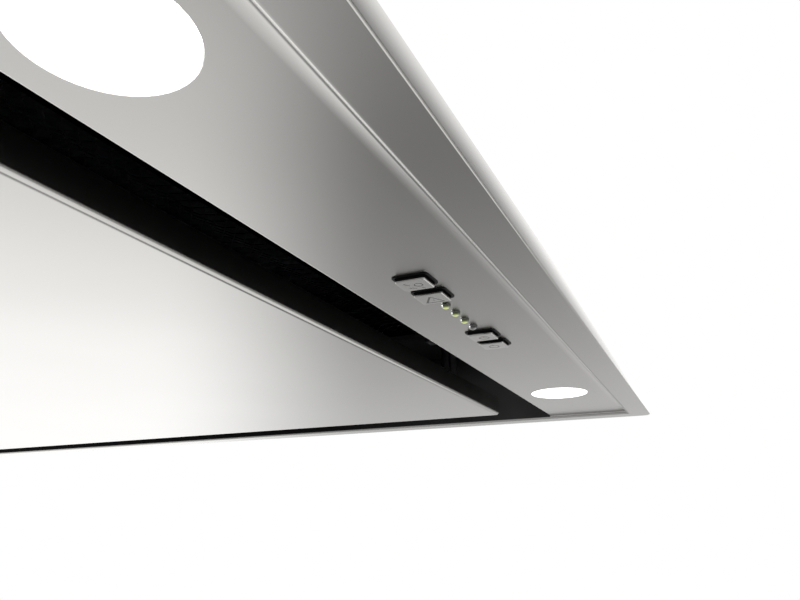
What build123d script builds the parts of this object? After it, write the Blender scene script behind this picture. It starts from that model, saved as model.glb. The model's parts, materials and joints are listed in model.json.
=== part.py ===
"""Ceiling range hood with perimeter suction, seen from below in use.

Frame: the origin is the centre of the ceiling opening, on the ceiling's lower face.
+Z is up, into the ceiling void. X runs along the long side, with the control strip at +X.
Y runs along the short side. Everything is in millimetres, at real size.
"""

import os
from math import acos, degrees, sin

from build123d import *

os.makedirs("parts", exist_ok=True)

# Visible frame and its faces
frame_length = 1100.0
frame_width = 700.0
frame_drop = 10.0
flange_width = 19.0
frame_lip = 8.0
frame_upstand = 24.0
frame_corner = 3.0
fold_bend = 1.5
steel = 1.0
running_gap = 0.3

# End strips, set a little above the frame's face
strip_width = 70.0
strip_recess = 2.5
strip_end_gap = 0.8
strip_fold = 12.0

# Suction slot and the panel that it runs round
slot_gap = 38.0
panel_depth = 15.5
panel_lip = 10.0
panel_bend = 2.5
panel_corner = 3.0

# Lamps in the four corners
lamp_radius = 21.5
lamp_from_end = 126.0
lamp_rim = 3.5
lamp_base_height = 4.0
lamp_fin_height = 7.0
lamp_fin_count = 6
lamp_fin_pitch = 5.5
lamp_fin_sheet = 1.2
lamp_fin_length = 35.0
strip_centre_offset = 2.0

# Push buttons and indicator lights
button_across = 14.0
button_along = 12.0
button_corner = 1.5
button_proud = 4.0
button_cap_thickness = 1.0
button_cap_chamfer = 0.4
button_travel = 1.5
button_clearance = 0.5
button_inner_offset = 36.0
button_pitch = 20.0
button_lip = 1.5
button_lip_height = 1.5
plunger_radius = 1.5
plunger_gap = 0.3
indicator_radius = 2.0
indicator_pitch = 13.0
indicator_proud = 2.0
indicator_clearance = 0.05
indicator_bevel = 1.0
guide_height = 8.0
guide_width = 26.0
guide_margin = 12.0
board_thickness = 1.6
switch_size = 6.0
switch_height = 2.5
cover_height = 22.0
cover_wall = 1.5

# Housing of galvanised sheet
zinc = 1.2
plenum_height = 90.0
deck_height = 60.0
deck_sheet = 1.0
deck_edge_gap = 1.5
skirt_overlap = 4.0

# Grease filters under the deck
filter_length = 380.0
filter_width = 420.0
filter_spacing = 30.0
filter_depth = 12.0
filter_rail = 14.0
filter_groove = 6.0
filter_ledge = 8.0
mesh_height = 4.0
mesh_sheet = 0.8
mesh_pitch = 11.0
tab_width = 30.0
tab_reach = 6.0
latch_width = 24.0
latch_length = 37.0
latch_thickness = 3.0
latch_travel = 8.0
latch_spare = 1.0
latch_plate = 2.0
latch_chamfer = 1.8
latch_guide_wall = 3.0
pull_height = 10.0
pull_thickness = 3.0
pull_width = 18.0

# Hinges on the far side of the panel, catches on the near side
hinge_inset = 30.0
hinge_height = 20.0
hinge_from_panel_end = 38.0
hinge_pin_radius = 2.5
hinge_pin_head = 4.5
hinge_running = 0.05
hinge_arm_thickness = 3.0
hinge_arm_width = 16.0
hinge_side_gap = 1.0
hinge_ear = 2.0
hinge_eye = 6.5
stiffener_width = 40.0
stiffener_height = 10.0
stiffener_flange = 10.0
magnet_length = 40.0
magnet_width = 16.0
magnet_height = 12.0
magnet_gap = 0.3
catch_sheet = 1.5

# Blower box and the fan inside it
box_end_room = 43.0
box_near_room = 11.0
motor_headroom = 9.5
box_sheet = 1.0
box_flange = 15.0
fan_x = -24.0
fan_y = -12.0
scroll_foot_height = 10.0
scroll_foot_radius = 8.0
scroll_foot_count = 4
scroll_foot_angle = 45.0
scroll_wall = 2.0
scroll_gap = 23.0
scroll_step = 24.0
scroll_tongue = 5.0
throat_margin = 2.5
inlet_gap = 5.0
inlet_sheet = 1.0
inlet_bell = 8.0
inlet_lip = 6.0
impeller_radius = 115.0
blade_depth = 20.0
fan_floor_gap = 14.0
fan_top_gap = 26.0
impeller_plate = 2.0
impeller_ring = 4.0
inlet_overlap = 3.0
blade_count = 36
blade_thickness = 1.2
blade_lean = 6.0
blade_sagitta = 4.5
blade_bends = (0.35, 0.7)
hub_radius = 13.0
hub_height = 26.0
shaft_radius = 4.0
shaft_running = 0.05
motor_radius = 60.0
motor_height = 32.0
motor_pilot_radius = 38.0
motor_pilot_depth = 14.0
motor_plate = 2.5
mount_gap = 9.0
mount_count = 3
mount_ear = 9.0
grommet_radius = 7.0
grommet_height = 4.0
screw_radius = 2.5
screw_clearance = 0.15
screw_head_radius = 4.5
screw_head_height = 3.0
screw_length = 12.5
screw_sides = 6

# Outlet collar with its two-leaf flap
collar_radius = 75.0
collar_wall = 1.5
collar_length = 58.0
collar_plate_margin = 10.0
collar_plate_corner = 8.0
collar_plate_thickness = 2.0
damper_set_in = 16.0
damper_gap = 1.5
damper_sheet = 1.2
damper_pin_radius = 1.5
damper_running = 0.05
damper_knuckle = 1.6
knuckle_length = 16.0
knuckle_gap = 0.5

# Connection box, cable gland and hangers
terminal_length = 110.0
terminal_height = 70.0
terminal_depth = 42.0
terminal_wall = 2.0
terminal_lift = 20.0
gland_radius = 11.0
gland_bore = 4.5
gland_length = 22.0
gland_nut_length = 7.0
gland_nut_sides = 6
capacitor_radius = 16.0
capacitor_height = 58.0
capacitor_wall_gap = 8.0
hanger_from_frame_end = 70.0
hanger_from_frame_side = 80.0
hanger_width = 40.0
hanger_leg = 45.0
hanger_height = 60.0
hanger_sheet = 2.5
hanger_slot_length = 25.0
hanger_slot_radius = 4.5

# Levels and edges that the pieces share
face_z = -frame_drop
strip_z = face_z + strip_recess
strip_back = strip_z + steel
opening_x = frame_length / 2 - flange_width
opening_y = frame_width / 2 - flange_width
strip_inner_x = opening_x - strip_width
strip_centre_x = opening_x - strip_width / 2 - strip_centre_offset
strip_half_length = opening_y - strip_end_gap
upstand_top = face_z + frame_upstand
panel_x = strip_inner_x - slot_gap
panel_y = opening_y - slot_gap
panel_top = face_z + panel_depth
lamp_y = frame_width / 2 - lamp_from_end
lamp_places = [(side * strip_centre_x, end * lamp_y) for side in (1, -1) for end in (-1, 1)]
button_outer_offset = button_inner_offset + button_pitch
button_places = [-button_outer_offset, -button_inner_offset, button_inner_offset, button_outer_offset]
indicator_places = [(index - 1.5) * indicator_pitch for index in range(4)]
plenum_inner_x = opening_x + steel
plenum_inner_y = opening_y + steel
plenum_floor = face_z + steel
hole_for_screw = screw_radius + screw_clearance
mount_radius = motor_radius + mount_gap + mount_ear

# The fan's air path, sized by the round duct and by the impeller
collar_bore = collar_radius - collar_wall
throat_width = 2 * (collar_bore + throat_margin)
scroll_inside_height = throat_width
scroll_base = plenum_height + scroll_foot_height
air_bottom = scroll_base + scroll_wall
air_top = air_bottom + scroll_inside_height
impeller_eye = impeller_radius - blade_depth
impeller_bottom = air_bottom + fan_floor_gap
impeller_top = air_top - fan_top_gap
inlet_radius = impeller_eye - inlet_gap - inlet_sheet
half_step = scroll_step / 2
first_radius = impeller_radius + scroll_gap
first_x = fan_x - half_step
first_y = fan_y - half_step
last_x = fan_x + half_step
last_y = fan_y + half_step
last_radius = first_radius + 2 * scroll_step
throat_outer_x = last_x + last_radius
throat_inner_x = throat_outer_x - throat_width
collar_x = throat_outer_x - throat_width / 2
collar_z = air_bottom + scroll_inside_height / 2

# The box round the fan, sized by the scroll and by the motor on top of it
motor_seat = air_top + scroll_wall + grommet_height
can_z = motor_seat + motor_plate
motor_top = can_z + motor_height
box_length = 2 * (throat_outer_x + scroll_wall + box_end_room + box_sheet)
box_width = 2 * (first_radius + scroll_step - first_y + scroll_wall + box_near_room + box_sheet)
box_top = motor_top + motor_headroom + box_sheet


# Trim frame: a folded stainless ring with an outer return, a face and an inner wall
with BuildPart() as trim_frame:
    with BuildSketch(Plane.XY.offset(face_z)):
        RectangleRounded(frame_length, frame_width, frame_corner)
        Rectangle(2 * opening_x, 2 * opening_y, mode=Mode.SUBTRACT)
    extrude(amount=steel)
    with BuildSketch(Plane.XY.offset(face_z)):
        RectangleRounded(frame_length, frame_width, frame_corner)
        RectangleRounded(
            frame_length - 2 * steel,
            frame_width - 2 * steel,
            frame_corner - steel,
            mode=Mode.SUBTRACT,
        )
    extrude(amount=frame_drop)
    with BuildSketch(Plane.XY.offset(-steel)):
        RectangleRounded(frame_length, frame_width, frame_corner)
        Rectangle(frame_length - 2 * frame_lip, frame_width - 2 * frame_lip, mode=Mode.SUBTRACT)
    extrude(amount=steel)
    with BuildSketch(Plane.XY.offset(face_z)):
        Rectangle(2 * plenum_inner_x, 2 * plenum_inner_y)
        Rectangle(2 * opening_x, 2 * opening_y, mode=Mode.SUBTRACT)
    extrude(amount=frame_upstand)
    fillet(trim_frame.faces().sort_by(Axis.Z)[0].edges(), radius=fold_bend)
trim_frame.part.label = "trim_frame"
export_step(trim_frame.part, "parts/trim_frame.step")


def strip_section(side):
    """Folded section of an end strip in the XZ plane, on the +X (1) or -X (-1) end."""
    with BuildSketch(Plane.XZ) as section:
        with BuildLine():
            FilletPolyline(
                (side * strip_inner_x, strip_z + strip_fold),
                (side * strip_inner_x, strip_z),
                (side * opening_x, strip_z),
                (side * opening_x, upstand_top),
                radius=fold_bend,
            )
            offset(amount=steel, side=Side.LEFT if side > 0 else Side.RIGHT)
        make_face()
    return section.sketch


# Control strip: lamp holes, button openings and indicator holes in a folded channel
with BuildPart() as control_strip:
    extrude(strip_section(1), amount=strip_half_length, both=True)
    with BuildSketch(Plane.XY.offset(strip_z)):
        with Locations(*[place for place in lamp_places if place[0] > 0]):
            Circle(lamp_radius + running_gap)
        with Locations(*[(strip_centre_x, y) for y in button_places]):
            RectangleRounded(
                button_across + 2 * button_clearance,
                button_along + 2 * button_clearance,
                button_corner + button_clearance,
            )
        with Locations(*[(strip_centre_x, y) for y in indicator_places]):
            Circle(indicator_radius + running_gap)
    extrude(amount=steel, mode=Mode.SUBTRACT)
control_strip.part.label = "control_strip"
export_step(control_strip.part, "parts/control_strip.step")

# Plain strip: the same channel at the other end, with its lamp holes only
with BuildPart() as plain_strip:
    extrude(strip_section(-1), amount=strip_half_length, both=True)
    with BuildSketch(Plane.XY.offset(strip_z)):
        with Locations(*[place for place in lamp_places if place[0] < 0]):
            Circle(lamp_radius + running_gap)
    extrude(amount=steel, mode=Mode.SUBTRACT)
plain_strip.part.label = "plain_strip"
export_step(plain_strip.part, "parts/plain_strip.step")

# Lamps: four lenses flush with the strips, each on a finned housing behind the strip
for number, place in enumerate(lamp_places, start=1):
    with BuildPart() as lamp_lens:
        with BuildSketch(Plane.XY.offset(strip_z)):
            with Locations(place):
                Circle(lamp_radius)
        extrude(amount=steel)
    lamp_lens.part.label = f"lamp_lens_{number}"
    export_step(lamp_lens.part, f"parts/lamp_lens_{number}.step")

with BuildPart() as lamp_bodies:
    with BuildSketch(Plane.XY.offset(strip_back)):
        with Locations(*lamp_places):
            Circle(lamp_radius + lamp_rim)
    extrude(amount=lamp_base_height)
    with BuildSketch(Plane.XY.offset(strip_back + lamp_base_height)):
        with Locations(*lamp_places):
            with GridLocations(lamp_fin_pitch, 0, lamp_fin_count, 1):
                Rectangle(lamp_fin_sheet, lamp_fin_length)
    extrude(amount=lamp_fin_height)
lamp_bodies.part.label = "lamp_bodies"
export_step(lamp_bodies.part, "parts/lamp_bodies.step")

# Push buttons: a metal cap on a black stem, whose lip rests behind the strip
cap_z = strip_z - button_proud
stem_z = cap_z + button_cap_thickness
lip_z = strip_back + running_gap
guide_top = strip_back + guide_height
switch_z = guide_top - switch_height
plunger_top = switch_z - button_travel - plunger_gap
for number, y in enumerate(button_places, start=1):
    with BuildPart() as button_cap:
        with BuildSketch(Plane.XY.offset(cap_z)):
            with Locations((strip_centre_x, y)):
                RectangleRounded(button_across, button_along, button_corner)
        extrude(amount=button_cap_thickness)
        chamfer(button_cap.faces().sort_by(Axis.Z)[0].edges(), length=button_cap_chamfer)
    button_cap.part.label = f"button_cap_{number}"
    export_step(button_cap.part, f"parts/button_cap_{number}.step")

    with BuildPart() as button_stem:
        with BuildSketch(Plane.XY.offset(stem_z)):
            with Locations((strip_centre_x, y)):
                RectangleRounded(button_across, button_along, button_corner)
        extrude(amount=lip_z - stem_z)
        with BuildSketch(Plane.XY.offset(lip_z)):
            with Locations((strip_centre_x, y)):
                Rectangle(button_across + 2 * button_lip, button_along + 2 * button_lip)
        extrude(amount=button_lip_height)
        with BuildSketch(Plane.XY.offset(lip_z + button_lip_height)):
            with Locations((strip_centre_x, y)):
                Circle(plunger_radius)
        extrude(amount=plunger_top - lip_z - button_lip_height)
    button_stem.part.label = f"button_stem_{number}"
    export_step(button_stem.part, f"parts/button_stem_{number}.step")

# Indicator lights: light pipes with a bevelled tip that stand on the board
indicator_tip = strip_z - indicator_proud
for number, y in enumerate(indicator_places, start=1):
    with BuildPart() as indicator_lens:
        with BuildSketch(Plane.XZ.offset(-y)):
            with BuildLine():
                Polyline(
                    (strip_centre_x, guide_top),
                    (strip_centre_x, indicator_tip),
                    (strip_centre_x + indicator_radius - indicator_bevel, indicator_tip),
                    (strip_centre_x + indicator_radius, indicator_tip + indicator_bevel),
                    (strip_centre_x + indicator_radius, guide_top),
                    close=True,
                )
            make_face()
        revolve(axis=Axis((strip_centre_x, y, 0), (0, 0, 1)))
    indicator_lens.part.label = f"indicator_lens_{number}"
    export_step(indicator_lens.part, f"parts/indicator_lens_{number}.step")

# Button guide: a moulded block on the back of the strip, with a pocket for each stem
guide_length = 2 * button_outer_offset + button_along + 2 * guide_margin
with BuildPart() as button_guide:
    with BuildSketch(Plane.XY.offset(strip_back)):
        with Locations((strip_centre_x, 0)):
            Rectangle(guide_width, guide_length)
        with Locations(*[(strip_centre_x, y) for y in button_places]):
            Rectangle(
                button_across + 2 * button_lip + 2 * running_gap,
                button_along + 2 * button_lip + 2 * running_gap,
                mode=Mode.SUBTRACT,
            )
        with Locations(*[(strip_centre_x, y) for y in indicator_places]):
            Circle(indicator_radius + indicator_clearance, mode=Mode.SUBTRACT)
    extrude(amount=guide_height)
button_guide.part.label = "button_guide"
export_step(button_guide.part, "parts/button_guide.step")

# Control board with a push switch over each stem
with BuildPart() as control_board:
    with BuildSketch(Plane.XY.offset(guide_top)):
        with Locations((strip_centre_x, 0)):
            Rectangle(guide_width, guide_length)
    extrude(amount=board_thickness)
    with BuildSketch(Plane.XY.offset(switch_z)):
        with Locations(*[(strip_centre_x, y) for y in button_places]):
            Rectangle(switch_size, switch_size)
    extrude(amount=switch_height)
control_board.part.label = "control_board"
export_step(control_board.part, "parts/control_board.step")

# Control cover: an open-bottomed shell over the board, standing on the strip
with BuildPart() as control_cover:
    with BuildSketch(Plane.XY.offset(strip_back)):
        with Locations((strip_centre_x, 0)):
            Rectangle(
                guide_width + 2 * running_gap + 2 * cover_wall,
                guide_length + 2 * running_gap + 2 * cover_wall,
            )
    extrude(amount=cover_height)
    with BuildSketch(Plane.XY.offset(strip_back)):
        with Locations((strip_centre_x, 0)):
            Rectangle(guide_width + 2 * running_gap, guide_length + 2 * running_gap)
    extrude(amount=cover_height - cover_wall, mode=Mode.SUBTRACT)
control_cover.part.label = "control_cover"
export_step(control_cover.part, "parts/control_cover.step")

# Plenum box: galvanised walls round the frame's inner wall, and a top with the fan inlet
inlet_hole = inlet_radius + inlet_bell + 2 * inlet_sheet
plenum_half_x = plenum_inner_x + zinc
plenum_half_y = plenum_inner_y + zinc
with BuildPart() as plenum_box:
    with BuildSketch(Plane.XY.offset(plenum_floor)):
        Rectangle(2 * plenum_half_x, 2 * plenum_half_y)
        Rectangle(2 * plenum_inner_x, 2 * plenum_inner_y, mode=Mode.SUBTRACT)
    extrude(amount=plenum_height - plenum_floor)
    with BuildSketch(Plane.XY.offset(plenum_height - zinc)):
        Rectangle(2 * plenum_half_x, 2 * plenum_half_y)
        with Locations((fan_x, fan_y)):
            Circle(inlet_hole, mode=Mode.SUBTRACT)
    extrude(amount=zinc)
plenum_box.part.label = "plenum_box"
export_step(plenum_box.part, "parts/plenum_box.step")

# Filter deck: a black tray, open downwards, with two filter openings and their tabs
filter_bottom = deck_height - filter_depth
filter_places = [-(filter_length + filter_spacing) / 2, (filter_length + filter_spacing) / 2]
latch_top = filter_bottom - running_gap
latch_bottom = latch_top - latch_thickness
keeper_top = latch_bottom - running_gap
latch_nose = latch_travel - latch_spare
keeper_y = -(filter_width / 2 + latch_nose + latch_spare)
far_tab_y = filter_width / 2 + running_gap
skirt_x_bottom = strip_z + strip_fold - skirt_overlap
with BuildSketch(Plane.YZ) as far_tab:
    with Locations((far_tab_y, deck_height)):
        Rectangle(deck_sheet, filter_depth + deck_sheet, align=(Align.MIN, Align.MAX))
    with Locations((far_tab_y, filter_bottom)):
        Rectangle(tab_reach, deck_sheet, align=(Align.MAX, Align.MAX))
with BuildSketch(Plane.YZ) as keeper_tab:
    with Locations((keeper_y, deck_height)):
        Rectangle(deck_sheet, deck_height - keeper_top + deck_sheet, align=(Align.MAX, Align.MAX))
    with Locations((keeper_y, keeper_top)):
        Rectangle(tab_reach, deck_sheet, align=(Align.MIN, Align.MAX))
with BuildPart() as filter_deck:
    with BuildSketch(Plane.XY.offset(deck_height)):
        Rectangle(2 * strip_inner_x, 2 * opening_y)
        with Locations(*[(x, 0) for x in filter_places]):
            Rectangle(
                filter_length - 2 * filter_ledge,
                filter_width - 2 * filter_ledge,
                mode=Mode.SUBTRACT,
            )
    extrude(amount=deck_sheet)
    with BuildSketch(Plane.XY.offset(skirt_x_bottom)):
        Rectangle(2 * strip_inner_x, 2 * opening_y)
        Rectangle(2 * (strip_inner_x - deck_sheet), 2 * opening_y, mode=Mode.SUBTRACT)
    extrude(amount=deck_height - skirt_x_bottom)
    with BuildSketch(Plane.XY.offset(face_z + deck_edge_gap)):
        Rectangle(2 * strip_inner_x, 2 * opening_y)
        Rectangle(2 * strip_inner_x, 2 * (opening_y - deck_sheet), mode=Mode.SUBTRACT)
    extrude(amount=deck_height - face_z - deck_edge_gap)
    for x in filter_places:
        extrude(keeper_tab.sketch.translate((x, 0, 0)), amount=tab_width / 2, both=True)
        for side in (-1, 1):
            tab_x = x + side * filter_length / 4
            extrude(far_tab.sketch.translate((tab_x, 0, 0)), amount=tab_width / 2, both=True)
filter_deck.part.label = "filter_deck"
export_step(filter_deck.part, "parts/filter_deck.step")

# Grease filters: a grooved aluminium rail round a pleated mesh, with a sprung latch under it
rail_inner_x = filter_length / 2 - filter_rail
rail_inner_y = filter_width / 2 - filter_rail
groove_z = filter_bottom + (filter_depth - mesh_height) / 2
latch_y = -(filter_width / 2 + latch_nose)
latch_end = latch_y + latch_length
guide_half = latch_width / 2 + running_gap
guide_outer = guide_half + latch_guide_wall
pull_gap = pull_width / 2 + running_gap
pleat_count = int(2 * rail_inner_x / mesh_pitch)
pleat_half = rail_inner_x + filter_groove - running_gap
for side, x in zip(("left", "right"), filter_places):
    with BuildPart() as filter_frame:
        with BuildSketch(Plane.XY.offset(filter_bottom)):
            with Locations((x, 0)):
                Rectangle(filter_length, filter_width)
                Rectangle(2 * rail_inner_x, 2 * rail_inner_y, mode=Mode.SUBTRACT)
        extrude(amount=filter_depth)
        with BuildSketch(Plane.XY.offset(groove_z - running_gap)):
            with Locations((x, 0)):
                Rectangle(2 * (rail_inner_x + filter_groove), 2 * (rail_inner_y + filter_groove))
                Rectangle(2 * rail_inner_x, 2 * rail_inner_y, mode=Mode.SUBTRACT)
        extrude(amount=mesh_height + 2 * running_gap, mode=Mode.SUBTRACT)
        with BuildSketch(Plane.XY.offset(filter_bottom)):
            with Locations((x, -filter_width / 2)):
                Rectangle(2 * guide_outer, latch_length - latch_nose, align=(Align.CENTER, Align.MIN))
        extrude(amount=latch_plate)
        with BuildSketch(Plane.XZ.offset(filter_width / 2)):
            for edge in (-1, 1):
                with Locations((x + edge * guide_outer, filter_bottom)):
                    Rectangle(
                        latch_guide_wall,
                        filter_bottom - keeper_top + deck_sheet,
                        align=(Align.MAX if edge > 0 else Align.MIN, Align.MAX),
                    )
                with Locations((x + edge * pull_gap, keeper_top)):
                    Rectangle(
                        guide_outer - pull_gap,
                        deck_sheet,
                        align=(Align.MIN if edge > 0 else Align.MAX, Align.MAX),
                    )
        extrude(amount=-(latch_length - latch_nose))
    filter_frame.part.label = f"filter_frame_{side}"
    export_step(filter_frame.part, f"parts/filter_frame_{side}.step")

    with BuildPart() as filter_mesh:
        with BuildSketch(Plane.XZ):
            with BuildLine():
                step = 2 * pleat_half / pleat_count / 2
                lower = [
                    (
                        x - pleat_half + index * step,
                        groove_z + (index % 2) * (mesh_height - mesh_sheet),
                    )
                    for index in range(2 * pleat_count + 1)
                ]
                upper = [(px, pz + mesh_sheet) for px, pz in reversed(lower)]
                Polyline(*lower, *upper, close=True)
            make_face()
        extrude(amount=rail_inner_y + filter_groove - running_gap, both=True)
    filter_mesh.part.label = f"filter_mesh_{side}"
    export_step(filter_mesh.part, f"parts/filter_mesh_{side}.step")

    with BuildPart() as filter_latch:
        with BuildSketch(Plane.XY.offset(latch_bottom)):
            with Locations((x, latch_y)):
                Rectangle(latch_width, latch_length, align=(Align.CENTER, Align.MIN))
        extrude(amount=latch_thickness)
        nose = filter_latch.edges().filter_by(Axis.X).group_by(Axis.Y)[0].sort_by(Axis.Z)[-1]
        chamfer(nose, length=latch_chamfer)
        with BuildSketch(Plane.XY.offset(latch_bottom)):
            with Locations((x, latch_end - pull_thickness * 2)):
                Rectangle(pull_width, pull_thickness)
        extrude(amount=-pull_height)
    filter_latch.part.label = f"filter_latch_{side}"
    export_step(filter_latch.part, f"parts/filter_latch_{side}.step")

# Suction panel: a shallow stainless tray with folded sides and an inward lip
with BuildPart() as suction_panel:
    with BuildSketch(Plane.XY.offset(face_z)):
        RectangleRounded(2 * panel_x, 2 * panel_y, panel_corner)
    extrude(amount=panel_depth)
    fillet(suction_panel.faces().sort_by(Axis.Z)[0].edges(), radius=panel_bend)
    offset(amount=-steel, openings=suction_panel.faces().sort_by(Axis.Z)[-1])
    with BuildSketch(Plane.XY.offset(panel_top - steel)):
        RectangleRounded(2 * panel_x, 2 * panel_y, panel_corner)
        Rectangle(2 * (panel_x - panel_lip), 2 * (panel_y - panel_lip), mode=Mode.SUBTRACT)
    extrude(amount=steel)
suction_panel.part.label = "suction_panel"
export_step(suction_panel.part, "parts/suction_panel.step")

# Stiffeners: a hat section across the panel at each hinge
panel_floor = face_z + steel
stiffener_top = panel_floor + stiffener_height
stiffener_half_length = panel_y - steel - 2 * running_gap - panel_bend
crown_half = stiffener_width / 2 - stiffener_flange
hinge_y = panel_y - hinge_inset
hinge_x = panel_x - hinge_from_panel_end
hinge_places = (-hinge_x, hinge_x)
for side, x in zip(("left", "right"), hinge_places):
    with BuildPart() as panel_stiffener:
        with BuildSketch(Plane.XZ):
            with BuildLine():
                Polyline(
                    (x - stiffener_width / 2, panel_floor),
                    (x - crown_half, panel_floor),
                    (x - crown_half, stiffener_top - steel),
                    (x + crown_half, stiffener_top - steel),
                    (x + crown_half, panel_floor),
                    (x + stiffener_width / 2, panel_floor),
                )
                offset(amount=steel, side=Side.LEFT, kind=Kind.INTERSECTION)
            make_face()
        extrude(amount=stiffener_half_length, both=True)
    panel_stiffener.part.label = f"panel_stiffener_{side}"
    export_step(panel_stiffener.part, f"parts/panel_stiffener_{side}.step")

    with BuildPart() as hinge_arm:
        with BuildSketch(Plane.YZ.offset(x)):
            with Locations((hinge_y, hinge_height)):
                Circle(hinge_eye)
                Rectangle(
                    2 * hinge_eye,
                    hinge_height - stiffener_top,
                    align=(Align.CENTER, Align.MAX),
                )
                Circle(hinge_pin_radius + hinge_running, mode=Mode.SUBTRACT)
        extrude(amount=hinge_arm_thickness / 2, both=True)
        with BuildSketch(Plane.XY.offset(stiffener_top)):
            with Locations((x, hinge_y)):
                Rectangle(2 * crown_half, 2 * hinge_arm_width)
        extrude(amount=hinge_ear)
    hinge_arm.part.label = f"hinge_arm_{side}"
    export_step(hinge_arm.part, f"parts/hinge_arm_{side}.step")

    ear_inner = hinge_arm_thickness / 2 + hinge_side_gap
    ear_outer = ear_inner + hinge_ear
    with BuildPart() as hinge_bracket:
        with BuildSketch(Plane.YZ.offset(x)) as ear:
            with Locations((hinge_y, hinge_height)):
                Circle(hinge_eye)
                Rectangle(2 * hinge_eye, deck_height - hinge_height, align=(Align.CENTER, Align.MIN))
                Circle(hinge_pin_radius, mode=Mode.SUBTRACT)
        extrude(amount=ear_outer, both=True)
        with BuildSketch(Plane.YZ.offset(x)):
            with Locations((hinge_y, deck_height - hinge_ear)):
                Rectangle(4 * hinge_eye, 4 * deck_height, align=(Align.CENTER, Align.MAX))
        extrude(amount=ear_inner, both=True, mode=Mode.SUBTRACT)
        with BuildSketch(Plane.XY.offset(deck_height - hinge_ear)):
            with Locations((x, hinge_y)):
                Rectangle(2 * ear_outer + 2 * hinge_arm_width, 2 * hinge_eye)
        extrude(amount=hinge_ear)
    hinge_bracket.part.label = f"hinge_bracket_{side}"
    export_step(hinge_bracket.part, f"parts/hinge_bracket_{side}.step")

with BuildPart() as hinge_pins:
    for x in hinge_places:
        with BuildSketch(Plane.YZ.offset(x)):
            with Locations((hinge_y, hinge_height)):
                Circle(hinge_pin_radius)
        extrude(amount=ear_outer + hinge_ear, both=True)
        with BuildSketch(Plane.YZ.offset(x + ear_outer)):
            with Locations((hinge_y, hinge_height)):
                Circle(hinge_pin_head)
        extrude(amount=hinge_ear)
hinge_pins.part.label = "hinge_pins"
export_step(hinge_pins.part, "parts/hinge_pins.step")

# Magnetic catches on the near side, each on a bracket that hangs from the deck
magnet_z = stiffener_top + magnet_gap
catch_y = -hinge_y
with BuildPart() as catch_magnets:
    with BuildSketch(Plane.XY.offset(magnet_z)):
        with Locations(*[(x, catch_y) for x in hinge_places]):
            Rectangle(magnet_length, magnet_width)
    extrude(amount=magnet_height)
catch_magnets.part.label = "catch_magnets"
export_step(catch_magnets.part, "parts/catch_magnets.step")

catch_back = catch_y - magnet_width / 2 - catch_sheet
with BuildSketch(Plane.YZ) as catch_section:
    with BuildLine():
        Polyline(
            (catch_back, magnet_z),
            (catch_back, deck_height),
            (catch_y + magnet_width / 2, deck_height),
        )
        offset(amount=catch_sheet, side=Side.RIGHT, kind=Kind.INTERSECTION)
    make_face()
with BuildPart() as catch_brackets:
    for x in hinge_places:
        section = catch_section.sketch.translate((x, 0, 0))
        extrude(section, amount=(magnet_length - stiffener_flange) / 2, both=True)
catch_brackets.part.label = "catch_brackets"
export_step(catch_brackets.part, "parts/catch_brackets.step")

# Blower box: open below, with a flange that stands on the plenum box and a round outlet hole
with BuildPart() as blower_box:
    with BuildSketch(Plane.XY.offset(plenum_height)):
        Rectangle(box_length, box_width)
    extrude(amount=box_top - plenum_height)
    with BuildSketch(Plane.XY.offset(plenum_height)):
        Rectangle(box_length - 2 * box_sheet, box_width - 2 * box_sheet)
    extrude(amount=box_top - plenum_height - box_sheet, mode=Mode.SUBTRACT)
    with BuildSketch(Plane.XY.offset(plenum_height)):
        Rectangle(box_length + 2 * box_flange, box_width + 2 * box_flange)
        Rectangle(box_length - 2 * box_sheet, box_width - 2 * box_sheet, mode=Mode.SUBTRACT)
    extrude(amount=box_sheet)
    with BuildSketch(Plane.XZ):
        with Locations((collar_x, collar_z)):
            Circle(collar_bore)
    extrude(amount=-box_width, mode=Mode.SUBTRACT)
blower_box.part.label = "blower_box"
export_step(blower_box.part, "parts/blower_box.step")

# Scroll: the air path grows in three arcs round the fan, then runs straight to the outlet
box_inner_y = box_width / 2 - box_sheet
tongue_angle = acos((throat_inner_x - first_x) / first_radius)
tongue_y = first_y + first_radius * sin(tongue_angle)
with BuildSketch() as air_path:
    with BuildLine():
        Line((throat_inner_x, box_inner_y), (throat_inner_x, tongue_y))
        CenterArc(
            (first_x, first_y),
            first_radius,
            degrees(tongue_angle),
            180 - degrees(tongue_angle),
        )
        CenterArc((last_x, first_y), first_radius + scroll_step, 180, 90)
        CenterArc((last_x, last_y), last_radius, 270, 90)
        Line((throat_outer_x, last_y), (throat_outer_x, box_inner_y))
        Line((throat_outer_x, box_inner_y), (throat_inner_x, box_inner_y))
    make_face()
    tongue = air_path.vertices().sort_by_distance((throat_inner_x, tongue_y, 0))[0]
    fillet(tongue, radius=scroll_tongue)
with BuildSketch() as scroll_outline:
    add(air_path.sketch)
    offset(amount=scroll_wall, kind=Kind.ARC)
    with Locations((0, box_inner_y)):
        Rectangle(2 * box_length, box_width, align=(Align.CENTER, Align.MIN), mode=Mode.SUBTRACT)
foot_circle = first_radius - half_step
with BuildPart() as scroll_casing:
    with BuildSketch(Plane.XY.offset(scroll_base)):
        add(scroll_outline.sketch)
        with Locations((fan_x, fan_y)):
            Circle(inlet_radius + 2 * inlet_sheet, mode=Mode.SUBTRACT)
    extrude(amount=scroll_wall)
    with BuildSketch(Plane.XY.offset(air_bottom)):
        add(scroll_outline.sketch)
        add(air_path.sketch, mode=Mode.SUBTRACT)
    extrude(amount=scroll_inside_height)
    with BuildSketch(Plane.XY.offset(plenum_height)):
        with Locations((fan_x, fan_y)):
            with PolarLocations(foot_circle, scroll_foot_count, start_angle=scroll_foot_angle):
                Circle(scroll_foot_radius)
    extrude(amount=scroll_base - plenum_height)
scroll_casing.part.label = "scroll_casing"
export_step(scroll_casing.part, "parts/scroll_casing.step")

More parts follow.
